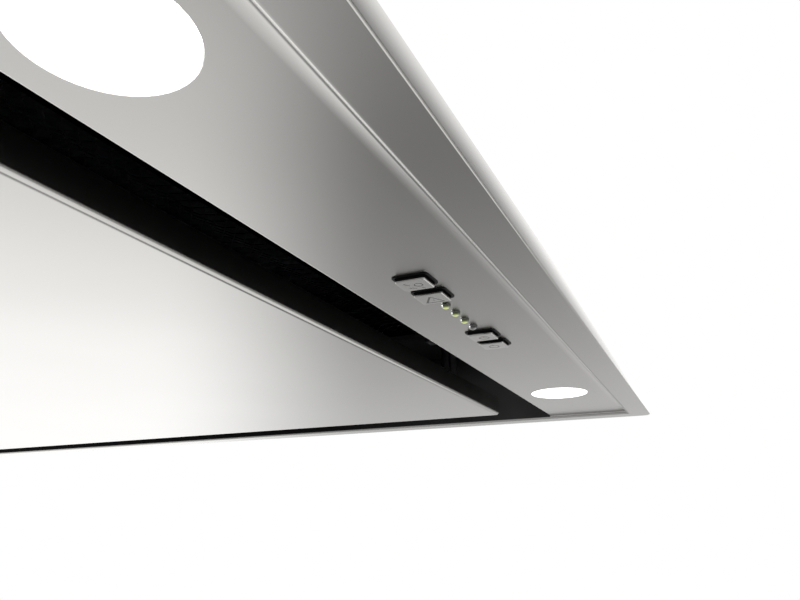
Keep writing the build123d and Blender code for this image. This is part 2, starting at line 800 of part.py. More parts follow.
# Scroll cover: closes the air path and carries the motor
with BuildPart() as scroll_cover:
    with BuildSketch(Plane.XY.offset(air_top)):
        add(scroll_outline.sketch)
        with Locations((fan_x, fan_y)):
            Circle(motor_pilot_radius + scroll_wall, mode=Mode.SUBTRACT)
            with PolarLocations(mount_radius, mount_count):
                Circle(hole_for_screw, mode=Mode.SUBTRACT)
    extrude(amount=scroll_wall)
scroll_cover.part.label = "scroll_cover"
export_step(scroll_cover.part, "parts/scroll_cover.step")

# Inlet ring: a bell mouth under the plenum's top that reaches into the impeller
inlet_flange_z = plenum_height - zinc - inlet_sheet
with BuildPart() as inlet_ring:
    with BuildSketch(Plane.XZ.offset(-fan_y)):
        with BuildLine():
            Polyline(
                (fan_x + inlet_hole + inlet_lip, inlet_flange_z),
                (fan_x + inlet_radius + inlet_bell, inlet_flange_z),
                (fan_x + inlet_radius, inlet_flange_z + inlet_bell),
                (fan_x + inlet_radius, impeller_bottom + inlet_overlap),
            )
            offset(amount=inlet_sheet, side=Side.RIGHT)
        make_face()
    revolve(axis=Axis((fan_x, fan_y, 0), (0, 0, 1)))
inlet_ring.part.label = "inlet_ring"
export_step(inlet_ring.part, "parts/inlet_ring.step")

# Impeller: forward-curved blades between a ring and a back plate with a hub
with BuildSketch() as blade:
    with BuildLine():
        blade_root = (impeller_eye + blade_thickness, 0)
        blade_tip = (impeller_radius - impeller_plate, blade_lean)
        curve = SagittaArc(blade_root, blade_tip, -blade_sagitta, mode=Mode.PRIVATE)
        Polyline(curve @ 0, *[curve @ share for share in blade_bends], curve @ 1)
        offset(amount=blade_thickness, side=Side.LEFT)
    make_face()
with BuildPart() as impeller:
    with BuildSketch(Plane((fan_x, fan_y, impeller_bottom + impeller_ring))):
        with PolarLocations(0, blade_count):
            add(blade.sketch)
    extrude(amount=impeller_top - impeller_bottom - impeller_ring - impeller_plate)
    with BuildSketch(Plane((fan_x, fan_y, impeller_bottom))):
        Circle(impeller_radius)
        Circle(impeller_eye, mode=Mode.SUBTRACT)
    extrude(amount=impeller_ring)
    with BuildSketch(Plane((fan_x, fan_y, impeller_top))):
        Circle(impeller_radius)
    extrude(amount=-impeller_plate)
    with BuildSketch(Plane((fan_x, fan_y, impeller_top))):
        Circle(hub_radius)
    extrude(amount=-hub_height)
    with BuildSketch(Plane((fan_x, fan_y, impeller_top))):
        Circle(shaft_radius)
    extrude(amount=-hub_height, mode=Mode.SUBTRACT)
impeller.part.label = "impeller"
export_step(impeller.part, "parts/impeller.step")

# Motor: a pilot through the cover, an eared plate and a round can, with the shaft in its bore
shaft_bottom = impeller_top - hub_height + shaft_radius
with BuildPart() as motor_shaft:
    with BuildSketch(Plane((fan_x, fan_y, shaft_bottom))):
        Circle(shaft_radius)
    extrude(amount=motor_top - motor_plate - shaft_bottom)
motor_shaft.part.label = "motor_shaft"
export_step(motor_shaft.part, "parts/motor_shaft.step")

with BuildPart() as motor:
    with BuildSketch(Plane((fan_x, fan_y, motor_seat - motor_pilot_depth))):
        Circle(motor_pilot_radius)
    extrude(amount=motor_pilot_depth)
    with BuildSketch(Plane((fan_x, fan_y, motor_seat))):
        Circle(motor_radius)
        with PolarLocations(0, mount_count):
            Rectangle(mount_radius, 2 * mount_ear, align=(Align.MIN, Align.CENTER))
        with PolarLocations(mount_radius, mount_count):
            Circle(mount_ear)
            Circle(hole_for_screw, mode=Mode.SUBTRACT)
    extrude(amount=motor_plate)
    with BuildSketch(Plane((fan_x, fan_y, can_z))):
        Circle(motor_radius)
    extrude(amount=motor_height)
    with BuildSketch(Plane((fan_x, fan_y, motor_seat - motor_pilot_depth))):
        Circle(shaft_radius + shaft_running)
    extrude(amount=motor_top - motor_seat + motor_pilot_depth, mode=Mode.SUBTRACT)
motor.part.label = "motor"
export_step(motor.part, "parts/motor.step")

with BuildPart() as motor_grommets:
    with BuildSketch(Plane((fan_x, fan_y, air_top + scroll_wall))):
        with PolarLocations(mount_radius, mount_count):
            Circle(grommet_radius)
            Circle(hole_for_screw, mode=Mode.SUBTRACT)
    extrude(amount=grommet_height)
motor_grommets.part.label = "motor_grommets"
export_step(motor_grommets.part, "parts/motor_grommets.step")

with BuildPart() as motor_screws:
    with BuildSketch(Plane((fan_x, fan_y, can_z))):
        with PolarLocations(mount_radius, mount_count):
            Circle(screw_radius)
    extrude(amount=-screw_length)
    with BuildSketch(Plane((fan_x, fan_y, can_z))):
        with PolarLocations(mount_radius, mount_count):
            RegularPolygon(screw_head_radius, screw_sides)
    extrude(amount=screw_head_height)
motor_screws.part.label = "motor_screws"
export_step(motor_screws.part, "parts/motor_screws.step")

# Outlet collar: a spigot for round duct on a square plate, with a pin across for the flap
collar_plate = 2 * (collar_radius + collar_plate_margin)
plate_y = box_width / 2
spigot_y = plate_y + collar_plate_thickness
damper_y = spigot_y + damper_set_in
with BuildPart() as outlet_collar:
    with BuildSketch(Plane.XZ.offset(-plate_y)):
        with Locations((collar_x, collar_z)):
            RectangleRounded(collar_plate, collar_plate, collar_plate_corner)
            Circle(collar_bore, mode=Mode.SUBTRACT)
    extrude(amount=-collar_plate_thickness)
    with BuildSketch(Plane.XZ.offset(-spigot_y)):
        with Locations((collar_x, collar_z)):
            Circle(collar_radius)
            Circle(collar_bore, mode=Mode.SUBTRACT)
    extrude(amount=-collar_length)
    with BuildSketch(Plane.XY.offset(collar_z)):
        with Locations((collar_x, damper_y)):
            Circle(damper_pin_radius)
    extrude(amount=collar_radius, both=True, mode=Mode.SUBTRACT)
outlet_collar.part.label = "outlet_collar"
export_step(outlet_collar.part, "parts/outlet_collar.step")

with BuildPart() as damper_pin:
    with BuildSketch(Plane.XY.offset(collar_z)):
        with Locations((collar_x, damper_y)):
            Circle(damper_pin_radius)
    extrude(amount=collar_radius - running_gap, both=True)
damper_pin.part.label = "damper_pin"
export_step(damper_pin.part, "parts/damper_pin.step")

# Flap leaves: two half discs whose knuckles take turns along the pin
knuckle_bore = damper_pin_radius + damper_running
knuckle_radius = knuckle_bore + damper_knuckle
leaf_edge = knuckle_radius + knuckle_gap
for side, sign in (("left", -1), ("right", 1)):
    knuckle_levels = [sign * knuckle_length, -sign * 3 * knuckle_length]
    with BuildPart() as damper_flap:
        with BuildSketch(Plane.XZ.offset(-damper_y)):
            with Locations((collar_x, collar_z)):
                Circle(collar_bore - damper_gap)
                Rectangle(2 * leaf_edge, 2 * collar_radius, mode=Mode.SUBTRACT)
                Rectangle(
                    2 * collar_radius,
                    2 * collar_radius,
                    align=(Align.MIN if sign < 0 else Align.MAX, Align.CENTER),
                    mode=Mode.SUBTRACT,
                )
                for level in knuckle_levels:
                    with Locations((sign * leaf_edge, -level)):
                        Rectangle(2 * (leaf_edge - knuckle_bore), knuckle_length)
        extrude(amount=damper_sheet / 2, both=True)
        for level in knuckle_levels:
            with BuildSketch(Plane.XY.offset(collar_z - level)):
                with Locations((collar_x, damper_y)):
                    Circle(knuckle_radius)
            extrude(amount=knuckle_length / 2, both=True)
        with BuildSketch(Plane.XY.offset(collar_z)):
            with Locations((collar_x, damper_y)):
                Circle(knuckle_bore)
        extrude(amount=collar_radius, both=True, mode=Mode.SUBTRACT)
    damper_flap.part.label = f"damper_flap_{side}"
    export_step(damper_flap.part, f"parts/damper_flap_{side}.step")

# Connection box on the blower box's end, with a lid and a cable gland
terminal_x = -box_length / 2
terminal_z = plenum_height + terminal_lift + terminal_height / 2
gland_x = terminal_x - terminal_depth / 2
gland_shank = gland_bore + 2 * terminal_wall
with BuildPart() as terminal_box:
    with BuildSketch(Plane.YZ.offset(terminal_x)):
        with Locations((0, terminal_z)):
            Rectangle(terminal_length, terminal_height)
    extrude(amount=-terminal_depth)
    with BuildSketch(Plane.YZ.offset(terminal_x - terminal_wall)):
        with Locations((0, terminal_z)):
            Rectangle(terminal_length - 2 * terminal_wall, terminal_height - 2 * terminal_wall)
    extrude(amount=-terminal_depth, mode=Mode.SUBTRACT)
    with BuildSketch(Plane.XZ):
        with Locations((gland_x, terminal_z)):
            Circle(gland_shank)
    extrude(amount=terminal_length, mode=Mode.SUBTRACT)
terminal_box.part.label = "terminal_box"
export_step(terminal_box.part, "parts/terminal_box.step")

with BuildPart() as terminal_lid:
    with BuildSketch(Plane.YZ.offset(terminal_x - terminal_depth)):
        with Locations((0, terminal_z)):
            Rectangle(terminal_length, terminal_height)
    extrude(amount=-terminal_wall)
    chamfer(terminal_lid.faces().sort_by(Axis.X)[0].edges(), length=terminal_wall / 2)
terminal_lid.part.label = "terminal_lid"
export_step(terminal_lid.part, "parts/terminal_lid.step")

gland_face = terminal_length / 2
with BuildPart() as cable_gland:
    with BuildSketch(Plane.XZ.offset(gland_face)):
        with Locations((gland_x, terminal_z)):
            RegularPolygon(gland_radius, gland_nut_sides)
    extrude(amount=gland_nut_length)
    with BuildSketch(Plane.XZ.offset(gland_face - 2 * terminal_wall)):
        with Locations((gland_x, terminal_z)):
            Circle(gland_shank)
    extrude(amount=gland_length)
    with BuildSketch(Plane.XZ):
        with Locations((gland_x, terminal_z)):
            Circle(gland_bore)
    extrude(amount=terminal_length, mode=Mode.SUBTRACT)
cable_gland.part.label = "cable_gland"
export_step(cable_gland.part, "parts/cable_gland.step")

# Run capacitor: stands on the plenum box beside the scroll
capacitor_inset = box_sheet + capacitor_wall_gap + capacitor_radius
capacitor_x = capacitor_inset - box_length / 2
capacitor_y = capacitor_inset - box_width / 2
with BuildPart() as run_capacitor:
    with BuildSketch(Plane((capacitor_x, capacitor_y, plenum_height))):
        Circle(capacitor_radius)
    extrude(amount=capacitor_height)
run_capacitor.part.label = "run_capacitor"
export_step(run_capacitor.part, "parts/run_capacitor.step")

# Hanger brackets: four folded brackets with slots for the hanging rods
hanger_from_centre_x = frame_length / 2 - hanger_from_frame_end
hanger_from_centre_y = frame_width / 2 - hanger_from_frame_side
with BuildPart() as hanger_brackets:
    for side in (-1, 1):
        for end in (-1, 1):
            hanger_x = side * hanger_from_centre_x
            riser_x = hanger_x + side * hanger_width / 2
            hanger_y = end * hanger_from_centre_y
            outward = Side.RIGHT if side > 0 else Side.LEFT
            with BuildSketch(Plane.XZ.offset(-hanger_y)):
                with BuildLine():
                    Polyline(
                        (hanger_x + side * hanger_leg, plenum_height),
                        (riser_x, plenum_height),
                        (riser_x, plenum_height + hanger_height),
                        (hanger_x - side * hanger_width / 2, plenum_height + hanger_height),
                    )
                    offset(amount=hanger_sheet, side=outward, kind=Kind.INTERSECTION)
                make_face()
            extrude(amount=hanger_width / 2, both=True)
    with BuildSketch(Plane.XY.offset(plenum_height + hanger_height)):
        with GridLocations(2 * hanger_from_centre_x, 2 * hanger_from_centre_y, 2, 2):
            SlotOverall(hanger_slot_length, 2 * hanger_slot_radius)
    extrude(amount=hanger_sheet, mode=Mode.SUBTRACT)
hanger_brackets.part.label = "hanger_brackets"
export_step(hanger_brackets.part, "parts/hanger_brackets.step")
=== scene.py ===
# %% [markdown]
# # A flush ceiling hood, dressed to look as it does over a kitchen
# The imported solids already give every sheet, fold and moving part its size and place. This
# lesson gives them their finishes, adds the small things that a workshop adds last (engraved
# button caps, light domes, filter mesh, screws and rivets) and lights the hood softly.

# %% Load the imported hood
import json
from math import pi, radians

import bmesh
import bpy
import numpy as np
from mathutils import Matrix, Vector


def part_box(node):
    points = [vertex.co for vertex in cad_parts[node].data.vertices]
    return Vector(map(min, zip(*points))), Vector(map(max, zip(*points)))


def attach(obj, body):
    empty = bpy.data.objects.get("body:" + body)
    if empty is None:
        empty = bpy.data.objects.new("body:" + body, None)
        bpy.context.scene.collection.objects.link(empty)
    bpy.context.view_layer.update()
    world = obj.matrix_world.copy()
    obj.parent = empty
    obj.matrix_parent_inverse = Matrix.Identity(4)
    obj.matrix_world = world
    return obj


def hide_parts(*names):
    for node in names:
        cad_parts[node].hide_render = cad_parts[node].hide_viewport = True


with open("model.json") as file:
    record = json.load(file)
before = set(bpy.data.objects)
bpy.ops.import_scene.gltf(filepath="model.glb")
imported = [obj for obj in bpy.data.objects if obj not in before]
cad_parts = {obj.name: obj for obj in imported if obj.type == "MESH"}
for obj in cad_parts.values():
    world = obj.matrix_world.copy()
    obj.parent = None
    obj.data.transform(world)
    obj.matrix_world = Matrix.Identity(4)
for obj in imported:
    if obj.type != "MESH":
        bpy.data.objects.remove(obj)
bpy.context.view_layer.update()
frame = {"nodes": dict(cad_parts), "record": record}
nodes = frame["nodes"]
mm = 0.001
print("solids loaded:", len(nodes))

# %% [markdown]
# ## Helpers for surfaces
# A sheet-metal shop thinks in profiles and outlines, and so do these helpers: a shape is a grid
# of points, worked out as one array, and faces join each row of points to the next.

# %% Grids and pieces
same_point = 0.0001 * mm


def grid_faces(rows, columns, wrap=False):
    """Corner numbers of the faces between neighbours; wrap joins the last column to the first."""
    row = np.arange(rows - 1)[:, None] * columns
    column = np.arange(columns if wrap else columns - 1)[None, :]
    after = (column + 1) % columns
    corners = (row + column, row + after, row + columns + after, row + columns + column)
    return np.stack(np.broadcast_arrays(*corners), axis=-1).reshape(-1, 4)


def piece_from(name, points, faces, crease):
    """An object at the origin with these points and faces: seams joined, faces turned outwards."""
    mesh = bpy.data.meshes.new(name)
    mesh.from_pydata(points.reshape(-1, 3).tolist(), [], [list(face) for face in faces])
    shell = bmesh.new()
    shell.from_mesh(mesh)
    bmesh.ops.remove_doubles(shell, verts=shell.verts, dist=same_point)
    bmesh.ops.recalc_face_normals(shell, faces=shell.faces)
    shell.to_mesh(mesh)
    shell.free()
    mesh.shade_smooth()
    mesh.set_sharp_from_angle(angle=radians(crease))
    piece = bpy.data.objects.new(name, mesh)
    bpy.context.scene.collection.objects.link(piece)
    return piece


def together(*parts):
    """Points and faces of several parts as one set, with the corner numbers moved up in turn."""
    points, faces, start = [], [], 0
    for part_points, part_faces in parts:
        points.append(part_points)
        faces.extend((part_faces + start).tolist())
        start += len(part_points)
    return np.concatenate(points), faces


print("a strip of one face:", grid_faces(2, 2).tolist())

# %% [markdown]
# ### Turned parts and their copies
# Turning a profile round an axis gives domes, screws and nuts. Copies of a small part are its own
# points moved to other places, so that fifty screws take no more lines than one.

# %% Turned profiles and copies
def in_mm(*rows):
    """Profile rows given in millimetres: (radius, height), and a 1 after them on a shaped row."""
    return [(row[0] * mm, row[1] * mm, *row[2:], 0)[:3] for row in rows]


def turned(profile, columns, sides=0, ribs=0, swell=0.0):
    """Points and faces of (radius, height, shaped) rows turned round z: x = r cos a, y = r sin a.

    A shaped row has flat sides, as a nut has, or ribs that swell its radius up and down.
    """
    rows = np.array(profile, float)
    angle = np.linspace(0, 2 * pi, columns, endpoint=False)
    shape = 1 + swell * np.cos(ribs * angle)
    if sides:
        half = pi / sides
        shape = np.cos(half) / np.cos(angle % (2 * half) - half)
    radius = rows[:, :1] * np.where(rows[:, 2:3] > 0, shape[None, :], 1.0)
    height = np.broadcast_to(rows[:, 1:2], radius.shape)
    points = np.stack([radius * np.cos(angle), radius * np.sin(angle), height], axis=-1)
    return points.reshape(-1, 3), grid_faces(len(rows), columns, wrap=True)


def facing(*direction):
    """The turn that points a part's own z along a direction, as a 3 by 3 array."""
    return np.array(Vector(direction).to_track_quat("Z", "Y").to_matrix())


def copies(part, places, turn=None):
    """Points and faces of one part repeated: each copy is the turned part plus its place."""
    points, faces = part
    turned_points = points if turn is None else points @ turn.T
    places = np.array(places, float).reshape(-1, 1, 3)
    count = np.arange(len(places)).reshape(-1, 1, 1) * len(points)
    return (turned_points[None] + places).reshape(-1, 3), (faces[None] + count).reshape(-1, faces.shape[1])


print("a turn towards x:", facing(1, 0, 0).round(2).tolist())

# %% [markdown]
# ### Outlines, hoops and folds
# Plates, lids and frames are rounded rectangles. One outline stacked at several heights makes a
# plate with eased edges, and a section carried round a rectangle makes a frame.

# %% Outlines and sections
four_corners = np.array([(1, 1), (1, -1), (-1, -1), (-1, 1)], float)


def outline(half_x, half_y, corner, steps):
    """Round a rectangle with quarter circles at its corners: x = centre + r cos a, y = centre + r sin a."""
    quarter = np.arange(4)[:, None] * pi / 2
    angle = quarter + np.linspace(0, pi / 2, steps)[None, :]
    x = np.sign(np.cos(quarter + pi / 4)) * (half_x - corner) + corner * np.cos(angle)
    y = np.sign(np.sin(quarter + pi / 4)) * (half_y - corner) + corner * np.sin(angle)
    return np.stack([x, y], axis=-1).reshape(-1, 2)


def stacked(levels, steps=1):
    """Outlines given as (half x, half y, corner, height), each joined to the next."""
    rings = [np.column_stack([outline(*level[:3], steps), np.full(4 * steps, level[3])]) for level in levels]
    return np.concatenate(rings), grid_faces(len(levels), 4 * steps, wrap=True)


def hoop(half_x, half_y, profile, corner=0.0, steps=1):
    """A closed profile of (outward, height) carried round a rectangle, whose corners keep their centres."""
    closed = profile + profile[:1]
    levels = [(half_x + out, half_y + out, max(corner + out, 0.0), height) for out, height in closed]
    return stacked(levels, steps)


def fold(across, up, radius, first, last, steps=7):
    """Points of a fold in a sheet: across + r cos a, up + r sin a, between two angles in degrees."""
    angle = np.radians(np.linspace(first, last, steps))
    return np.column_stack([across + radius * np.cos(angle), up + radius * np.sin(angle)]).tolist()


def middle_of(low, high):
    """The middle of a box and its half sizes, as two arrays."""
    low, high = np.array(low), np.array(high)
    return (low + high) / 2, (high - low) / 2


print("corners of a square:", outline(1, 1, 0, 1).tolist())

# %% [markdown]
# ## Shared effects for the finishes
# Brushed sheet, zinc spangle and a moulded or sprayed grain turn up in several materials. Each is
# one node group that puts out a height or a shade, so that the shader itself stays in the material
# and an exporter can read it. All of them work on Object coordinates, in metres.

# %% Helpers for node trees
def new_group(name, inputs, outputs):
    """A shader node group with its inputs and float outputs, and the sockets inside it for both."""
    group = bpy.data.node_groups.new(name, "ShaderNodeTree")
    for label, kind, value in inputs:
        socket = group.interface.new_socket(label, in_out="INPUT", socket_type=kind)
        if value is not None:
            socket.default_value = value
    for label in outputs:
        group.interface.new_socket(label, in_out="OUTPUT", socket_type="NodeSocketFloat")
    return group, group.nodes.new("NodeGroupInput").outputs, group.nodes.new("NodeGroupOutput").inputs


def put_out(group, result, **values):
    """Join the sockets worked out in a group to the outputs of the same names."""
    for label, socket in values.items():
        group.links.new(socket, result[label])


def feed(tree, socket, value):
    """Give a socket a plain number, or a link from another socket."""
    if isinstance(value, (int, float)):
        socket.default_value = value
    else:
        tree.links.new(value, socket)


def calculate(tree, operation, *values):
    """A Math node with either sockets or plain numbers for its inputs."""
    node = tree.nodes.new("ShaderNodeMath")
    node.operation = operation
    for socket, value in zip(node.inputs, values):
        feed(tree, socket, value)
    return node.outputs[0]


def add_noise(tree, vector, scale, detail):
    """A noise texture on a vector, at a number of patches to the metre."""
    noise = tree.nodes.new("ShaderNodeTexNoise")
    feed(tree, noise.inputs["Scale"], scale)
    noise.inputs["Detail"].default_value = detail
    tree.links.new(vector, noise.inputs["Vector"])
    return noise.outputs["Fac"]


print("helpers for node trees ready")

# %% [markdown]
# ### Brushed sheet
# An abrasive belt leaves long fine scratches, and the sheet is a little duller where they crowd.
# Noise that is stretched along one axis gives both, and a wide soft noise shades the sheet.

# %% Brushed sheet
smoothest = 0.22
rougher = 0.06
brushed, entry, result = new_group(
    "brushed_sheet",
    [("Vector", "NodeSocketVector", None), ("Along", "NodeSocketVector", (3, 900, 900))],
    ["Height", "Polish", "Shade"],
)
stretch = brushed.nodes.new("ShaderNodeVectorMath")
stretch.operation = "MULTIPLY"
brushed.links.new(entry["Vector"], stretch.inputs[0])
brushed.links.new(entry["Along"], stretch.inputs[1])
scratch = add_noise(brushed, stretch.outputs[0], scale=1.0, detail=3.0)
cloud = add_noise(brushed, entry["Vector"], scale=5.0, detail=2.0)
polish = calculate(brushed, "MULTIPLY_ADD", scratch, rougher, smoothest)
put_out(brushed, result, Height=scratch, Polish=polish, Shade=cloud)
print("inputs and outputs of the brushed sheet:", len(brushed.interface.items_tree))

# %% [markdown]
# ### Zinc spangle and moulded grain
# Hot zinc freezes in flat crystals, each with its own shade and gloss, as the cells of a Voronoi
# texture have. Mouldings, paint and castings share a fine even grain under faint wide patches.

# %% Zinc spangle and moulded grain
crystal_share = 0.75
frost_share = 0.25
crystal_gloss = 0.36
crystal_dulling = 0.18
spangled, entry, result = new_group(
    "zinc_spangle",
    [("Vector", "NodeSocketVector", None), ("Size", "NodeSocketFloat", 90.0)],
    ["Shade", "Polish"],
)
crystals = spangled.nodes.new("ShaderNodeTexVoronoi")
crystals.inputs["Randomness"].default_value = 1.0
spangled.links.new(entry["Vector"], crystals.inputs["Vector"])
spangled.links.new(entry["Size"], crystals.inputs["Scale"])
grey = spangled.nodes.new("ShaderNodeSeparateColor")
spangled.links.new(crystals.outputs["Color"], grey.inputs["Color"])
frost = add_noise(spangled, entry["Vector"], scale=260.0, detail=3.0)
frost = calculate(spangled, "MULTIPLY", frost, frost_share)
shade = calculate(spangled, "MULTIPLY_ADD", grey.outputs[0], crystal_share, frost)
dull = calculate(spangled, "MULTIPLY_ADD", grey.outputs[1], crystal_dulling, crystal_gloss)
put_out(spangled, result, Shade=shade, Polish=dull)

grained, entry, result = new_group(
    "moulded_grain",
    [("Vector", "NodeSocketVector", None), ("Fineness", "NodeSocketFloat", 1500.0)],
    ["Height", "Shade"],
)
fine = add_noise(grained, entry["Vector"], scale=entry["Fineness"], detail=2.0)
patches = add_noise(grained, entry["Vector"], scale=22.0, detail=3.0)
put_out(grained, result, Height=fine, Shade=patches)
print("shared effects:", len(bpy.data.node_groups))

# %% [markdown]
# ## Finishes
# A finish starts as one shader with plain values on its own sockets. What changes over the
# surface comes from the shared effects: a bump for height, a ramp between two colours for shade.

# %% Builders for a finish
def inputs_of(material):
    """The input sockets of a material's shader."""
    return material.node_tree.nodes["Principled BSDF"].inputs


def finish(name, colour, roughness, metallic=0.0, coat=0.0):
    """A material with one Principled shader and its plain values."""
    material = bpy.data.materials.new(name)
    material.use_nodes = True
    values = {"Base Color": (*colour, 1), "Roughness": roughness, "Metallic": metallic, "Coat Weight": coat}
    for label, value in values.items():
        inputs_of(material)[label].default_value = value
    return material


def effect(material, group, **values):
    """Place a shared effect in a material on Object coordinates, with its values."""
    tree = material.node_tree
    node = tree.nodes.new("ShaderNodeGroup")
    node.node_tree = group
    place = tree.nodes.new("ShaderNodeTexCoord")
    tree.links.new(place.outputs["Object"], node.inputs["Vector"])
    for label, value in values.items():
        node.inputs[label].default_value = value
    return node


def raise_height(material, height, distance):
    """Feed a height to the shader's normal through a Bump node."""
    tree = material.node_tree
    bump = tree.nodes.new("ShaderNodeBump")
    bump.inputs["Distance"].default_value = distance
    bump.inputs["Strength"].default_value = 1.0
    tree.links.new(height, bump.inputs["Height"])
    tree.links.new(bump.outputs["Normal"], inputs_of(material)["Normal"])


def blend_colours(material, shade, dark, light, low=0.3, high=0.7):
    """Feed Base Color from a ramp between two colours, driven by a shade."""
    tree = material.node_tree
    ramp = tree.nodes.new("ShaderNodeValToRGB")
    ends = ramp.color_ramp.elements
    for end, position, colour in zip(ends, (low, high), (dark, light)):
        end.position = position
        end.color = (*colour, 1)
    tree.links.new(shade, ramp.inputs["Fac"])
    tree.links.new(ramp.outputs["Color"], inputs_of(material)["Base Color"])


print("builders of plain finishes ready")

# %% [markdown]
# ### Brushed sheet and mouldings
# Two kinds of finish take up nearly all of the hood: sheet with its scratches along one axis, and
# anything that is cast, moulded or painted. Both are a finish, an effect, two shades and a relief.

# %% Brushed sheet and mouldings
def brushed_steel(name, along, dark, light, relief):
    """Stainless sheet with its grain along one axis: stretches for x, y and z, relief in mm."""
    material = finish(name, light, 0.3, metallic=1.0)
    node = effect(material, brushed, Along=along)
    material.node_tree.links.new(node.outputs["Polish"], inputs_of(material)["Roughness"])
    blend_colours(material, node.outputs["Shade"], dark, light)
    raise_height(material, node.outputs["Height"], relief * mm)
    return material


def moulded(name, dark, light, roughness, fineness, relief, metallic=0.0):
    """Plastic, paint or casting: two near shades over a grain, fineness to the metre, relief in mm."""
    material = finish(name, light, roughness, metallic)
    node = effect(material, grained, Fineness=fineness)
    blend_colours(material, node.outputs["Shade"], dark, light)
    raise_height(material, node.outputs["Height"], relief * mm)
    return material


print("builders of sheet and mouldings ready")

# %% [markdown]
# ### Masks over a piece
# Some finishes change with the place on the piece: with the distance to an edge or the height
# over a face. The coordinates are split into axes, and a Map Range makes a soft step of one.

# %% Masks over a piece
def object_axes(tree):
    """The x, y and z sockets of a material's Object coordinates."""
    axes = tree.nodes.new("ShaderNodeSeparateXYZ")
    place = tree.nodes.new("ShaderNodeTexCoord")
    tree.links.new(place.outputs["Object"], axes.inputs[0])
    return axes.outputs


def ramped(tree, value, start, end, at_start=0.0, at_end=1.0, curve="LINEAR"):
    """A level that changes between two values of a socket, and is held before and after them."""
    step = tree.nodes.new("ShaderNodeMapRange")
    step.interpolation_type = curve
    levels = {"From Min": start, "From Max": end, "To Min": at_start, "To Max": at_end}
    for label, level in levels.items():
        step.inputs[label].default_value = level
    tree.links.new(value, step.inputs["Value"])
    return step.outputs["Result"]


def bump_height(material):
    """A finish's bump node and the socket that feeds its height."""
    bump = next(node for node in material.node_tree.nodes if node.type == "BUMP")
    return bump, bump.inputs["Height"].links[0].from_socket


print("masks ready")

# %% [markdown]
# ### Brushed stainless sheet
# Strips and panels are cut from sheet that was brushed along its length, and a frame is mitred,
# so that the grain turns at each corner. Long thin noise gives the scratches; on the frame two
# such grains meet on the diagonal of the corner. The strips are pressed from thin sheet, and
# their long outer edge swells slightly: its height grows with the square of the way to the edge,
# in the shading only, which is enough for the soft band of light that lies there.

# %% Stainless sheet
steel_dark = (0.575, 0.565, 0.545)
steel_light = (0.605, 0.595, 0.575)
steel_relief = 0.003
grain_along_x = (12, 4200, 4200)
grain_along_y = (4200, 12, 4200)
steel_strip = brushed_steel("stainless_strip", grain_along_y, steel_dark, steel_light, steel_relief)
steel_panel = brushed_steel("stainless_panel", grain_along_x, steel_dark, steel_light, steel_relief)
steel_frame = brushed_steel("stainless_frame", grain_along_x, steel_dark, steel_light, steel_relief)
print("grain along the sheet to across it: 1 to", grain_along_x[1] / grain_along_x[0])

# %% Mitred grain of the frame
tree = steel_frame.node_tree
frame_low, frame_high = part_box("trim_frame")
x, y, _ = object_axes(tree)
from_end = calculate(tree, "SUBTRACT", frame_high.x, calculate(tree, "ABSOLUTE", x))
from_side = calculate(tree, "SUBTRACT", frame_high.y, calculate(tree, "ABSOLUTE", y))
end_grain = effect(steel_frame, brushed, Along=grain_along_y)
bump, side_grain = bump_height(steel_frame)
either = tree.nodes.new("ShaderNodeMix")
tree.links.new(calculate(tree, "LESS_THAN", from_end, from_side), either.inputs["Factor"])
tree.links.new(side_grain, either.inputs["A"])
tree.links.new(end_grain.outputs["Height"], either.inputs["B"])
tree.links.new(either.outputs["Result"], bump.inputs["Height"])
print("mitre at:", round(frame_high.x, 3), round(frame_high.y, 3))

# %% Swollen edge of the strips
tree = steel_strip.node_tree
strip_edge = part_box("control_strip")[1].x
swell_width = 6 * mm
swell_height = 0.80 * mm
way = ramped(tree, calculate(tree, "ABSOLUTE", object_axes(tree)[0]), strip_edge - swell_width, strip_edge)
bump, grain = bump_height(steel_strip)
swell = calculate(tree, "MULTIPLY", calculate(tree, "POWER", way, 2.0),
                  swell_height / bump.inputs["Distance"].default_value)
tree.links.new(calculate(tree, "ADD", grain, swell), bump.inputs["Height"])
print("strips swell from:", round(strip_edge - swell_width, 4))

# %% [markdown]
# ### Cap metal
# The button caps are brushed across, and their marks are etched and filled dark. Each cap's mesh
# stores how deep a point lies in a mark, and that number blends the metal into the filling.

# %% Cap metal
cap_dark = (0.66, 0.65, 0.63)
cap_light = (0.74, 0.73, 0.71)
mark_filling = (0.16, 0.155, 0.15, 1)
steel_cap = brushed_steel("cap_metal", (1600, 30, 1600), cap_dark, cap_light, 0.001)
tree = steel_cap.node_tree
base_colour = inputs_of(steel_cap)["Base Color"]
metal_colour = base_colour.links[0].from_socket
depth = tree.nodes.new("ShaderNodeAttribute")
depth.attribute_name = "mark"
inked = tree.nodes.new("ShaderNodeMix")
inked.data_type = "RGBA"
colour_sockets = {socket.identifier: socket for socket in [*inked.inputs, *inked.outputs]}
tree.links.new(depth.outputs["Fac"], inked.inputs["Factor"])
tree.links.new(metal_colour, colour_sockets["A_Color"])
colour_sockets["B_Color"].default_value = mark_filling
tree.links.new(colour_sockets["Result_Color"], base_colour)
print("materials so far:", len(bpy.data.materials))
